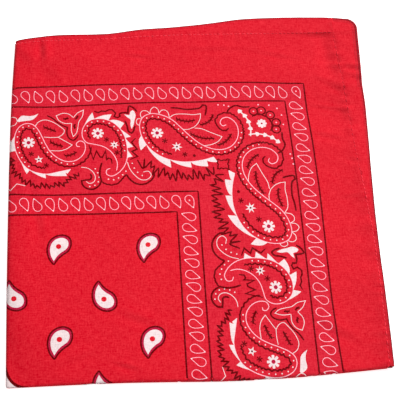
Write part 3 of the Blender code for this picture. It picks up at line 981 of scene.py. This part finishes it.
# ---- plies and their outlines on the flat cloth ----
Ply = namedtuple("Ply", "mirror under inset")
TOP_PLY, SECOND_PLY = Ply(False, False, 0.0), Ply(False, True, 0.0)
THIRD_PLY, BOTTOM_PLY = Ply(True, True, 0.72), Ply(True, False, 0.35)
EDGE_STEP, INNER_STEP = 1.6, 3.0  # points along an outline, and along that of the hidden plies
AT_FOLD, INNER_AT_FOLD = 0.5, 1.0  # an outline's first point beside the second fold
MIDDLE_LINE, MIDDLE_STEP = (269.0, -3.0), 1.0  # from where to where that fold's line runs on the cloth
SIDE_SEAM, INNER_SIDE_SEAM = (3.0, 276.0), (6.0, 273.0)  # the same for the side stitching
FOOT_END = 258.6  # how far the cloth reaches along the first fold
PAST_CREASE = 1.5  # the upper plies meet the inner ones this far past the crease
HEM_FOOT, HEM_FOOT_RISE = 265.0, 0.6  # where the side hem's lower end is, and how far above the fold
CORNER_PLACE = 268.0  # where the far edge's height is read for the rounded corner
CORNER_TURNS = range(8, 90, 8)  # the rounding's points, in degrees
HEMS_APART = 0.3  # the side hem ends this far from the far hem


def on_cloth(ply, points):
    """Plan points to points of the flat cloth, for one ply of the stack."""
    found = []
    for p in points:
        s, t = p.real, p.imag
        if ply.mirror:
            s = 2 * float(left_middle(p.imag)) - s
        if ply.under:
            t = 2 * float(near_middle(p.real)) - t
        found.append(complex(s, t))
    return found


def far_edge(ply, x):
    inset = float(read(FAR_PEEK, x)) if ply == TOP_PLY else ply.inset
    return QUARTER_DEPTH + float(read(FAR_EDGE, x)) - inset


def right_edge(ply, y):
    inset = float(read(RIGHT_PEEK, y)) if ply == TOP_PLY else ply.inset
    return QUARTER_WIDTH + float(read(RIGHT_EDGE, y)) - inset


def far_seam(x):
    return QUARTER_DEPTH + float(read(FAR_STITCHING, x))


def right_seam(y):
    return QUARTER_WIDTH + float(read(RIGHT_STITCHING, y))


def steps(start, end, step=EDGE_STEP):
    return np.linspace(start, end, max(2, int(round(abs(end - start) / step)) + 1)).tolist()


def along_far_seam(start, end, step=EDGE_STEP):
    return [complex(x, far_seam(x)) for x in steps(start, end, step)]


def along_right_seam(start, end, step=EDGE_STEP):
    return [complex(right_seam(y), y) for y in steps(start, end, step)]


def along_crease(start, end, step, mirror):
    """The flat cloth's line just past the first fold's crease, where the upper plies meet the inner ones."""
    found = []
    for x in steps(start, end, step):
        y = float(near_fold(x)) + CREASE_ROLL - CREASE_LENGTH - PAST_CREASE
        found.append(complex(2 * float(left_middle(0)) - x if mirror else x, y))
    return found


def panel_outline(ply):
    """The printed quarter of one outer ply, inside its hem's stitching, anticlockwise on the flat cloth."""
    far = on_cloth(ply, along_far_seam(SEAM_CROSSING, AT_FOLD))
    middle = [complex(float(left_middle(t)), t) for t in steps(*MIDDLE_LINE, MIDDLE_STEP)]
    foot = along_crease(0.0, FOOT_END, EDGE_STEP, ply.mirror)
    middle.append(complex(float(left_middle(0)), foot[0].imag))
    outline = far + middle + foot[1:] + on_cloth(ply, along_right_seam(*SIDE_SEAM))
    return outline[::-1] if ply.mirror else outline


def inner_outline():
    """The two inner plies as one piece, from stitching to stitching."""
    third = on_cloth(THIRD_PLY, along_far_seam(SEAM_CROSSING, INNER_AT_FOLD, INNER_STEP))
    second = on_cloth(SECOND_PLY, along_far_seam(INNER_AT_FOLD, SEAM_CROSSING, INNER_STEP))
    right = on_cloth(SECOND_PLY, along_right_seam(*INNER_SIDE_SEAM[::-1], INNER_STEP))
    upper = along_crease(FOOT_END, INNER_AT_FOLD, INNER_STEP, False)
    lower = along_crease(INNER_AT_FOLD, FOOT_END, INNER_STEP, True)
    left = on_cloth(THIRD_PLY, along_right_seam(*INNER_SIDE_SEAM, INNER_STEP))
    return third + second + right + upper + lower + left


FOLD_EDGE = 0.42  # how far a hem's rounded edge stands out
DEEP_SHADE_BAND, SOFT_SHADE_BAND = 0.6, 2.0  # how far its deep painted shade and its softer painted shade reach over the hem
CORNER_DEEP_SHADE, CORNER_SOFT_SHADE, CORNER_FROM = 1.1, 3.4, 225  # both, round the far corner, and where that starts
BAND_STEP, BAND_OUT = 1.5, 1.0


def crossing_line(ply):
    """Where a far hem runs into a side hem: from the stitching out to the edge."""
    ends = steps(far_seam(SEAM_CROSSING), far_edge(ply, SEAM_CROSSING) - FOLD_EDGE)
    return on_cloth(ply, [complex(SEAM_CROSSING, y) for y in ends])


def along_far_edge(ply, places):
    return [complex(x, far_edge(ply, x) - FOLD_EDGE) for x in places]


def far_hem_outline(near_ply, mirror_ply):
    """A far edge's hem, over the second fold to the mirrored ply, with the numbers of its outer points."""
    seam = along_far_seam(SEAM_CROSSING, AT_FOLD)
    inner = crossing_line(near_ply)[-2:0:-1] + on_cloth(near_ply, seam)
    inner += on_cloth(mirror_ply, seam[::-1]) + crossing_line(mirror_ply)[1:-1]
    places = steps(AT_FOLD, SEAM_CROSSING)
    outer = on_cloth(mirror_ply, along_far_edge(mirror_ply, places[::-1]))
    outer += on_cloth(near_ply, along_far_edge(near_ply, places))
    return anticlockwise(inner, outer)


def side_hem_outline(ply):
    """A side edge's hem, round the far right corner, with the numbers of its outer points."""
    start = float(near_fold(HEM_FOOT)) + HEM_FOOT_RISE
    inner = crossing_line(ply)[:0:-1] + on_cloth(ply, along_right_seam(far_seam(SEAM_CROSSING), start))
    edge_y = steps(start, far_edge(ply, CORNER_PLACE) - CORNER_RADIUS)
    outer = [complex(right_edge(ply, y) - FOLD_EDGE, y) for y in edge_y]
    centre = outer[-1] - CORNER_RADIUS
    outer += [centre + CORNER_RADIUS * cmath.rect(1, math.radians(turn)) for turn in CORNER_TURNS]
    outer += along_far_edge(ply, steps(centre.real, SEAM_CROSSING + HEMS_APART))
    return anticlockwise(inner, on_cloth(ply, outer))


def anticlockwise(inner, outer):
    """A hem's outline that runs anticlockwise, and the numbers of its outer points."""
    outline = inner + outer
    edge = set(range(len(inner), len(outline)))
    return (outline, edge) if area(outline) > 0 else (outline[::-1], {len(outline) - 1 - i for i in edge})


def edge_band(ink, edge, width):
    """The strip of a hem along its outer edge, which runs anticlockwise round the hem."""
    return fill(ink, beside(edge, BAND_OUT) + beside(edge, -width)[::-1])


def banded(outline, edge):
    """Painted shade along a hem's turned outer edge: a deep strip and a softer one, both wider round the far
    corner.
    """
    turned = spaced([outline[i] for i in sorted(edge)], BAND_STEP)
    bands = edge_band("soft shade red", turned, SOFT_SHADE_BAND)
    corner = [p for p in turned if p.imag > CORNER_FROM and abs(p.real) > SEAM_CROSSING]
    if corner:
        bands += edge_band("soft shade red", corner, CORNER_SOFT_SHADE)
        bands += edge_band("deep shade red", corner, CORNER_DEEP_SHADE)
    return bands + edge_band("deep shade red", turned, DEEP_SHADE_BAND)


# ---- building a piece of cloth ----
# Where the cloth turns over, the points of its mesh stand closer: the middle, the reach and the step.
Dense = namedtuple("Dense", "middle reach step")
DENSE_S, DENSE_T = Dense(-1.5, 6.5, 0.45), Dense(-2.0, 6.5, 0.40)
SWAY, SWAY_PACE, SWAY_CLEAR = 0.25, 2.1, 8  # elsewhere their rows sway, so that no seam of triangles shows


def filler(outline, step):
    """Points a step apart over the outline's box, closer together over the second fold and the creases."""
    s = np.array([p.real for p in outline])
    t = np.array([p.imag for p in outline])

    def rows(start, end, dense):
        found = np.arange(start + 0.5 * step, end, step)
        found = found[np.abs(found - dense.middle) > dense.reach]
        inside = np.arange(dense.middle - dense.reach, dense.middle + dense.reach, dense.step)
        return np.sort(np.concatenate([found, inside[(inside > start) & (inside < end)]]))

    grid_s, grid_t = np.meshgrid(rows(s.min(), s.max(), DENSE_S), rows(t.min(), t.max(), DENSE_T))
    clear = (np.abs(grid_s - DENSE_S.middle) > SWAY_CLEAR) * (np.abs(grid_t - DENSE_T.middle) > SWAY_CLEAR)
    grid_s = grid_s + SWAY * step * np.sin(grid_t * SWAY_PACE) * clear
    return np.stack([grid_s.ravel(), grid_t.ravel()], -1)


def triangulated(outline, shapes, points):
    """Triangles over an outline, each with the number of the topmost shape that it lies in, or -1."""
    corners = [Vector((p.real, p.imag)) for p in outline]
    faces = [list(range(len(corners)))]
    for shape in shapes:
        faces.append(list(range(len(corners), len(corners) + len(shape.outline))))
        corners += [Vector((p.real, p.imag)) for p in shape.outline]
    corners += [Vector(p) for p in points.tolist()]
    spots, _, triangles, _, _, inside = delaunay_2d_cdt(corners, [], faces, 0, 1e-5, True)
    kept, tops = [], []
    for triangle, within in zip(triangles, inside):
        if 0 in within:
            kept.append(triangle)
            tops.append(max(within) - 1)
    return [complex(spot[0], spot[1]) for spot in spots], kept, tops


def renumbered(spots, triangles, kept=()):
    """Only the spots that are kept or that a triangle uses, and the triangles with their new numbers."""
    used = sorted(set(kept) | {i for triangle in triangles for i in triangle})
    number = {old: new for new, old in enumerate(used)}
    return [spots[i] for i in used], [[number[i] for i in triangle] for triangle in triangles]


def boundary_loop(triangles):
    """The outer edge of a set of triangles, in the order in which they run along it."""
    onward = {}
    for triangle in triangles:
        for i in range(3):
            onward[(triangle[i], triangle[(i + 1) % 3])] = True
    step = {a: b for a, b in onward if (b, a) not in onward}
    start = next(iter(step))
    loop, at = [start], step[start]
    while at != start:
        loop.append(at)
        at = step[at]
    return loop


INKS = (
    "red", "border red", "strip red", "pale strip red", "soft shade red", "white", "pink", "black", "crimson",
    "deep shade red", "rim shade red",
)
PRINT_SIDE, BACK_SIDE, RIM_SIDE = 0, 1, 2
FINE, MEDIUM, COARSE = 1.7, 2.6, 4.0  # a mesh's step on the top, on the underside, and where cloth is plain
ROUND_ROWS = 5  # strips round a turned edge
ON_EDGE = 0.4  # a rim point this near to a turned edge is part of it
SHARPEST = math.radians(55)  # the rim's corners stay sharp above this angle


def cloth_piece(name, outline, thickness, shapes=(), edge=(), step=FINE, back_ink="red", bake_map=False):
    """A shell of cloth: its print side, its other side, and a rim, which is round at a turned edge."""
    spots, triangles, tops = triangulated(outline, shapes, filler(outline, step))
    spots, triangles = renumbered(spots, triangles)
    loop = boundary_loop(triangles)
    rim = [spots[i] for i in loop]
    back, back_triangles, _ = triangulated(rim, (), filler(rim, max(COARSE, step)))
    back, back_triangles = renumbered(back, back_triangles, range(len(rim)))
    bulges = [0.0] * len(rim)
    if edge:
        turned = np.array([outline[i] for i in edge])
        bulges = [float(np.min(np.abs(turned - p)) < ON_EDGE) * FOLD_EDGE for p in rim]

    flat, depth = list(spots), [0.0] * len(spots)
    out = side_steps(rim, closed=True)
    rings = [loop]
    rows = ROUND_ROWS if edge else 1
    for row in range(1, rows):
        angle = math.pi * row / rows
        rings.append(range(len(flat), len(flat) + len(rim)))
        flat += [point + out[i] * bulges[i] * math.sin(angle) for i, point in enumerate(rim)]
        depth += [thickness * (1 - math.cos(angle)) / 2] * len(rim)
    base = len(flat)
    rings.append(range(base, base + len(rim)))
    flat += back
    depth += [thickness] * len(back)

    faces = [tuple(triangle) for triangle in triangles]
    inks = [INKS.index(shapes[top].ink) if top >= 0 else 0 for top in tops]
    for row, (ring, onward) in enumerate(zip(rings, rings[1:]), 1):
        for i in range(len(rim)):
            after = (i + 1) % len(rim)
            faces.append((ring[after], ring[i], onward[i], onward[after]))
            # The rounded rim of a turned edge takes the nearly black painted shade.
            inks.append(INKS.index("rim shade red") if bulges[i] and row < rows else 0)
    sides = [PRINT_SIDE] * len(triangles) + [RIM_SIDE] * (rows * len(rim)) + [BACK_SIDE] * len(back_triangles)
    faces += [tuple(base + i for i in reversed(triangle)) for triangle in back_triangles]
    inks += [INKS.index(back_ink)] * len(back_triangles)

    s = np.array([p.real for p in flat])
    t = np.array([p.imag for p in flat])
    mesh = meshed(name, drape(s, t, np.array(depth)), faces, inks)
    corner = np.zeros(len(mesh.loops), dtype=np.int32)
    mesh.loops.foreach_get("vertex_index", corner)
    if bake_map:
        lay_out(mesh, s, t, corner, sides)
    weave = mesh.uv_layers.new(name="weave")
    weave.data.foreach_set("uv", np.stack([s[corner], t[corner]], -1).ravel() * MM)
    mesh.update()
    mesh.set_sharp_from_angle(angle=SHARPEST)
    return laid(name, mesh, INKS)


def meshed(name, points, faces, inks):
    """A mesh from plan points, with the number of each face's ink."""
    mesh = bpy.data.meshes.new(name)
    mesh.from_pydata(to_row(points).tolist(), [], faces)
    mesh.polygons.foreach_set("material_index", inks)
    mesh.polygons.foreach_set("use_smooth", [True] * len(faces))
    return mesh


def laid(name, mesh, inks):
    """A piece of the folded cloth, with a finish for each ink."""
    piece = bpy.data.objects.new(name, mesh)
    bpy.context.collection.objects.link(piece)
    for ink in inks:
        mesh.materials.append(material(ink))
    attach(piece, "root")
    return piece


# The heights of the map's bands: the print side large, above the rims, above the other side.
MAP_GAP, FRONT_FOOT, BACK_TOP, RIM_FOOT, RIM_TOP = 0.002, 0.09, 0.06, 0.068, 0.080


def lay_out(mesh, s, t, corner, sides):
    """The map that a picture of the print would be drawn on, without one point lying on another."""
    u = (s - s.min()) / np.ptp(s) * (1 - 2 * MAP_GAP) + MAP_GAP
    v = ((t - t.min()) / np.ptp(t))[corner]
    sides = np.repeat(np.array(sides), [polygon.loop_total for polygon in mesh.polygons])
    across = MAP_GAP + v * (BACK_TOP - MAP_GAP)
    for side, foot, top in ((PRINT_SIDE, FRONT_FOOT, 1 - MAP_GAP), (RIM_SIDE, RIM_FOOT, RIM_TOP)):
        across = np.where(sides == side, foot + v * (top - foot), across)
    bake = mesh.uv_layers.new(name="OFBake")
    bake.data.foreach_set("uv", np.stack([u[corner], across], -1).ravel())
    bake.active_render = True


# ---- colours and finishes ----
COLOURS = {
    "red": (0.655, 0.0105, 0.0238),
    "border red": (0.628, 0.0142, 0.0318),
    "strip red": (0.622, 0.0145, 0.0335),
    "pale strip red": (0.638, 0.0130, 0.0300),
    # painted shade: the softer strip along a hem's turned edge
    "soft shade red": (0.560, 0.0120, 0.0240),
    "white": (0.80, 0.648, 0.652),
    "pink": (0.98, 0.47, 0.55),
    "black": (0.140, 0.0, 0.0020),
    "crimson": (0.46, 0.011, 0.048),
    # painted shade: the turned edges of the hems, the second fold and the hems' undersides
    "deep shade red": (0.27, 0.006, 0.013),
    # painted shade: the rounded rims of turned edges
    "rim shade red": (0.12, 0.003, 0.006),
    "thread": (0.90, 0.046, 0.074),
    "dyed thread": (0.74, 0.024, 0.046),
}
# The yarns: how many of their bumps fit in a metre of the map, both ways, and their share of the height.
YARNS = (
    (210.0, 1100.0, 0.55),  # across
    (1100.0, 210.0, 0.55),  # lengthwise
    (800.0, 850.0, 0.6),  # fine grain
    (110.0, 120.0, 0.12),  # slubs and uneven dye
)
HEIGHTS = (0.61, 1.21)  # the lowest and the highest sum of the yarns
SHADES = (0.80, 1.13)  # how much darker and lighter the dye is there
FUZZ = (-0.013, 0.014)  # and how much paler the cloth's fibres make it
PAINTED_SHEEN_WAY, PAINTED_SHEEN_WIDTH, PAINTED_SHEEN = (1.0, 0.10, 0.0), (0.0, 0.30), (0.0, 0.0050)  # painted sheen: the cloth is paler to the right, as the key light's soft highlight would make it
DARKEST = (0.0005, 0.0005, 0.0005)
RELIEF, RELIEF_DEPTH = 0.25, 0.0002
ROUGHNESS, SHEEN, SHEEN_ROUGHNESS = 0.88, 0.12, 0.4


def placed(tree, kind, inputs, operation=None):
    """A new node whose inputs are values, or the outputs that they are linked to."""
    node = tree.nodes.new("ShaderNode" + kind)
    if operation:
        node.operation = operation
    for socket, value in inputs.items():
        if isinstance(value, bpy.types.NodeSocket):
            tree.links.new(value, node.inputs[socket])
        else:
            node.inputs[socket].default_value = value
    return node


def ranged(tree, value, found, wanted):
    """A value's place in one range, as the same place in another."""
    ends = {"From Min": found[0], "From Max": found[1], "To Min": wanted[0], "To Max": wanted[1]}
    return placed(tree, "MapRange", {"Value": value, **ends}).outputs["Result"]


def cotton_group():
    """Plain weave: the dye's streaks along thicker and thinner yarns, a painted sheen that pales the cloth to
    the right, and the height of the yarns.
    """
    group = bpy.data.node_groups.new("plain_weave", "ShaderNodeTree")
    group.interface.new_socket("Dye", in_out="INPUT", socket_type="NodeSocketColor")
    group.interface.new_socket("Dyed Cloth And Painted Sheen", in_out="OUTPUT", socket_type="NodeSocketColor")
    group.interface.new_socket("Thread Height", in_out="OUTPUT", socket_type="NodeSocketFloat")
    dye = group.nodes.new("NodeGroupInput").outputs["Dye"]
    end = group.nodes.new("NodeGroupOutput")
    weave = group.nodes.new("ShaderNodeUVMap")
    weave.uv_map = "weave"
    flat = weave.outputs["UV"]
    height = 0.0
    for along_x, along_y, share in YARNS:
        scaled = placed(group, "Mapping", {"Vector": flat, "Scale": (along_x, along_y, 1.0)})
        yarn = placed(group, "TexNoise", {"Vector": scaled.outputs["Vector"], "Scale": 1.0, "Detail": 2.0})
        added = placed(group, "Math", {0: yarn.outputs["Fac"], 1: share, 2: height}, "MULTIPLY_ADD")
        height = added.outputs[0]
    shade = ranged(group, height, HEIGHTS, SHADES)
    cloth = placed(group, "VectorMath", {0: dye, "Scale": shade}, "SCALE").outputs["Vector"]
    # Painted sheen: the colour pales to the right, where the key light would leave a soft highlight.
    across = placed(group, "VectorMath", {0: flat, 1: PAINTED_SHEEN_WAY}, "DOT_PRODUCT").outputs["Value"]
    for paler in (ranged(group, height, HEIGHTS, FUZZ), ranged(group, across, PAINTED_SHEEN_WIDTH, PAINTED_SHEEN)):
        cloth = placed(group, "VectorMath", {0: cloth, 1: paler}, "ADD").outputs["Vector"]
    cloth = placed(group, "VectorMath", {0: cloth, 1: DARKEST}, "MAXIMUM").outputs["Vector"]
    group.links.new(cloth, end.inputs["Dyed Cloth And Painted Sheen"])
    group.links.new(height, end.inputs["Thread Height"])
    return group


MADE = {}  # the weave and the finishes that are made already


def material(ink):
    """The cotton or thread of one colour."""
    if ink in MADE:
        return MADE[ink]
    if "weave" not in MADE:
        MADE["weave"] = cotton_group()
    made = bpy.data.materials.new("cotton_" + ink.replace(" ", "_"))
    made.use_nodes = True
    tree = made.node_tree
    cloth = tree.nodes.new("ShaderNodeGroup")
    cloth.node_tree = MADE["weave"]
    cloth.inputs["Dye"].default_value = (*COLOURS[ink], 1.0)
    relief = {"Strength": RELIEF, "Distance": RELIEF_DEPTH, "Height": cloth.outputs["Thread Height"]}
    bump = placed(tree, "Bump", relief)
    shader = tree.nodes["Principled BSDF"]
    tree.links.new(cloth.outputs["Dyed Cloth And Painted Sheen"], shader.inputs["Base Color"])
    tree.links.new(bump.outputs["Normal"], shader.inputs["Normal"])
    shader.inputs["Roughness"].default_value = ROUGHNESS
    shader.inputs["Specular IOR Level"].default_value = 0.0
    shader.inputs["Sheen Weight"].default_value = SHEEN
    shader.inputs["Sheen Roughness"].default_value = SHEEN_ROUGHNESS
    MADE[ink] = made
    return made


# ---- the stitches ----
STITCH_PITCH, STITCH_LENGTH, THREAD = 3.3, 2.7, 0.55
LENGTH_SPREAD, LENGTH_PACE = 0.12, 2.7  # how unlike one another the stitches are
THREAD_RISE = 0.45  # how high a pressed thread stands, as a share of its width
THREAD_LIFT, THREAD_SINK = 0.12, 2.2  # how far its middle is off the cloth, and how deep its ends go in
PALE_END, PALE_REACH = 150.0, 200.0  # up to here the side hem's thread, and the far hem's, is the paler one
# Places along a stitch, from end to end, and how thick its thread is there.
GIRTHS = ((-0.5, 0.45), (-0.30, 1.0), (0.0, 1.1), (0.30, 1.0), (0.5, 0.45))
SIDES = 6


def stitch_axes(flat, middle):
    """A stitch's place on the draped cloth, and the ways along it, beside it and up from the cloth."""
    nearest = min(range(len(flat) - 1), key=lambda i: abs(flat[i] - middle))
    heading = unit(flat[nearest + 1] - flat[nearest])
    ends = [middle - heading * 0.5, middle + heading * 0.5, middle + 0.5j * heading]
    at = drape([p.real for p in ends], [p.imag for p in ends], 0.0)
    along = at[1] - at[0]
    along /= np.linalg.norm(along)
    centre = (at[0] + at[1]) / 2
    up = np.cross(along, at[2] - centre)
    up /= np.linalg.norm(up)
    return centre, along, np.cross(up, along), up


def stitches(name, ply):
    """One object with a thread capsule for each stitch of one ply's two rows."""
    far_row = along_far_seam(2.0, SEAM_CROSSING - 1.0, 1.0)
    side_row = along_right_seam(275.0, 4.0, 1.0)
    places, faces, threads = [], [], []
    for row, is_far in ((far_row, True), (side_row, False)):
        flat = on_cloth(ply, row)
        for number, middle in enumerate(spaced(flat, STITCH_PITCH)):
            centre, along, aside, up = stitch_axes(flat, middle)
            centre = centre + up * THREAD * THREAD_LIFT
            length = STITCH_LENGTH * (1 + LENGTH_SPREAD * math.sin(number * LENGTH_PACE))
            base = len(places)
            for share, girth in GIRTHS:
                sink = up * THREAD * THREAD_RISE * THREAD_SINK * share**2
                for k in range(SIDES):
                    angle = 2 * math.pi * k / SIDES
                    off = (aside * math.cos(angle) + THREAD_RISE * up * math.sin(angle)) * THREAD / 2 * girth
                    places.append(centre + along * share * length + off - sink)
            for start in range(base, len(places) - SIDES, SIDES):
                for k in range(SIDES):
                    a, b = start + k, start + (k + 1) % SIDES
                    faces.append((a, b, b + SIDES, a + SIDES))
            faces.append(tuple(range(base + SIDES - 1, base - 1, -1)))
            faces.append(tuple(range(len(places) - SIDES, len(places))))
            pale = middle.imag < PALE_END or (is_far and abs(middle.real) < PALE_REACH)
            threads += [0 if pale else 1] * (len(faces) - len(threads))
    places = np.array(places)
    places[:, 2] = np.maximum(places[:, 2], 0.0)
    mesh = meshed(name, places, faces, threads)
    mesh.uv_layers.new(name="weave")
    return laid(name, mesh, ("thread", "dyed thread"))


def flat_size(outline):
    """The width and length of a flat piece's box, and the piece's area."""
    s, t = [p.real for p in outline], [p.imag for p in outline]
    return ((max(s) - min(s)) * MM, (max(t) - min(t)) * MM), abs(area(outline)) * MM**2


# ---- the light, the floor and the camera ----
SENSOR, LENS, NEAREST = 36.0, 89.48, 0.01
CAMERA_RIGHT, CAMERA_UP = Vector((0.99393, -0.06698, 0.08723)), Vector((0.02440, 0.90770, 0.41894))
CAMERA_PLACE = (58.86, -168.44, 656.75)  # from the plan's origin, on the stack
FLOOR_REACH, FLOOR_GREY, FLOOR_ROUGHNESS, FLOOR_GLOW, SKY = 3.0, 0.85, 0.9, 0.75, 0.30
Lamp = namedtuple("Lamp", "place aim size power")
KEY = Lamp((4.0, 2.9, 2.9), (0, 0, 0), 1.5, 492)
FILL = Lamp((-0.01, -0.01, 0.42), (-0.01, -0.01, 0), 0.22, 0.46)


def light(name, lamp):
    data = bpy.data.lights.new(name, "AREA")
    data.size, data.energy = lamp.size, lamp.power
    made = bpy.data.objects.new(name, data)
    made.location = lamp.place
    made.rotation_euler = (Vector(lamp.aim) - Vector(lamp.place)).to_track_quat("-Z", "Y").to_euler()
    bpy.context.collection.objects.link(made)


def camera():
    data = bpy.data.cameras.new("camera")
    data.sensor_width, data.lens, data.clip_start = SENSOR, LENS, NEAREST
    made = bpy.data.objects.new("camera", data)
    back = CAMERA_RIGHT.cross(CAMERA_UP).normalized()
    up = back.cross(CAMERA_RIGHT).normalized()
    place = (CAMERA_PLACE[0] + SHIFT_X, CAMERA_PLACE[1] + SHIFT_Y, CAMERA_PLACE[2] + STACK)
    rows = [(CAMERA_RIGHT[i], up[i], back[i], place[i] * MM) for i in range(3)]
    made.matrix_world = Matrix((*rows, (0, 0, 0, 1)))
    bpy.context.collection.objects.link(made)
    bpy.context.scene.camera = made


def pale_floor():
    mesh = bpy.data.meshes.new("floor")
    corners = [(x * FLOOR_REACH, y * FLOOR_REACH, 0) for x, y in ((-1, -1), (1, -1), (1, 1), (-1, 1))]
    mesh.from_pydata(corners, [], [(0, 1, 2, 3)])
    paper = bpy.data.materials.new("pale_floor")
    paper.use_nodes = True
    shader = paper.node_tree.nodes["Principled BSDF"]
    shader.inputs["Base Color"].default_value = (FLOOR_GREY, FLOOR_GREY, FLOOR_GREY, 1)
    shader.inputs["Roughness"].default_value = FLOOR_ROUGHNESS
    shader.inputs["Emission Color"].default_value = (1, 1, 1, 1)
    shader.inputs["Emission Strength"].default_value = FLOOR_GLOW
    mesh.materials.append(paper)
    floor = bpy.data.objects.new("floor", mesh)
    bpy.context.collection.objects.link(floor)


def studio():
    camera()
    pale_floor()
    world = bpy.data.worlds.new("studio")
    world.use_nodes = True
    sky = world.node_tree.nodes["Background"]
    sky.inputs["Color"].default_value = (1, 1, 1, 1)
    sky.inputs["Strength"].default_value = SKY
    bpy.context.scene.world = world
    light("key", KEY)
    light("fill", FILL)
    bpy.context.scene.view_settings.view_transform = "Standard"


PAST_FOLD = 3  # the top quarter shows the print this far past the second fold


def main():
    print_shapes = whole_print()
    top_outline, under_outline = panel_outline(TOP_PLY), panel_outline(BOTTOM_PLY)
    top_print = [shape for shape in print_shapes if max(p.real for p in shape.outline) > -PAST_FOLD]
    under_print = [shape for shape in print_shapes if min(p.real for p in shape.outline) < 0]
    top = cloth_piece("printed_quarter", top_outline, CLOTH, top_print, bake_map=True)
    under = cloth_piece("underside_quarter", under_outline, CLOTH, under_print, step=MEDIUM, bake_map=True)
    inner = cloth_piece("inner_layers", inner_outline(), CLOTH, step=COARSE)
    hems = {}
    for name, (outline, edge) in {
        "far_turned_hem": far_hem_outline(TOP_PLY, BOTTOM_PLY),
        "side_turned_hem": side_hem_outline(TOP_PLY),
        "inner_far_hem": far_hem_outline(SECOND_PLY, THIRD_PLY),
        "second_side_hem": side_hem_outline(SECOND_PLY),
        "third_side_hem": side_hem_outline(THIRD_PLY),
        "underside_side_hem": side_hem_outline(BOTTOM_PLY),
    }.items():
        # The hems get painted shade along their turned edges and over their undersides.
        hem = cloth_piece(name, outline, HEM, banded(outline, edge), edge=edge, back_ink="deep shade red")
        hems[name] = (hem, outline)
    top_thread = stitches("hem_stitches", TOP_PLY)
    under_thread = stitches("underside_stitches", BOTTOM_PLY)
    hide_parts("top_quarter")
    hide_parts("folded_layers")
    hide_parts("far_hem")
    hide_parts("side_hem")
    for outline, piece, thread in (
        (top_outline, top, [top_thread]),
        (under_outline, under, [under_thread]),
        (inner_outline(), inner, []),
        *((outline, piece, []) for piece, outline in hems.values()),
    ):
        size, flat_area = flat_size(outline)
    studio()


main()
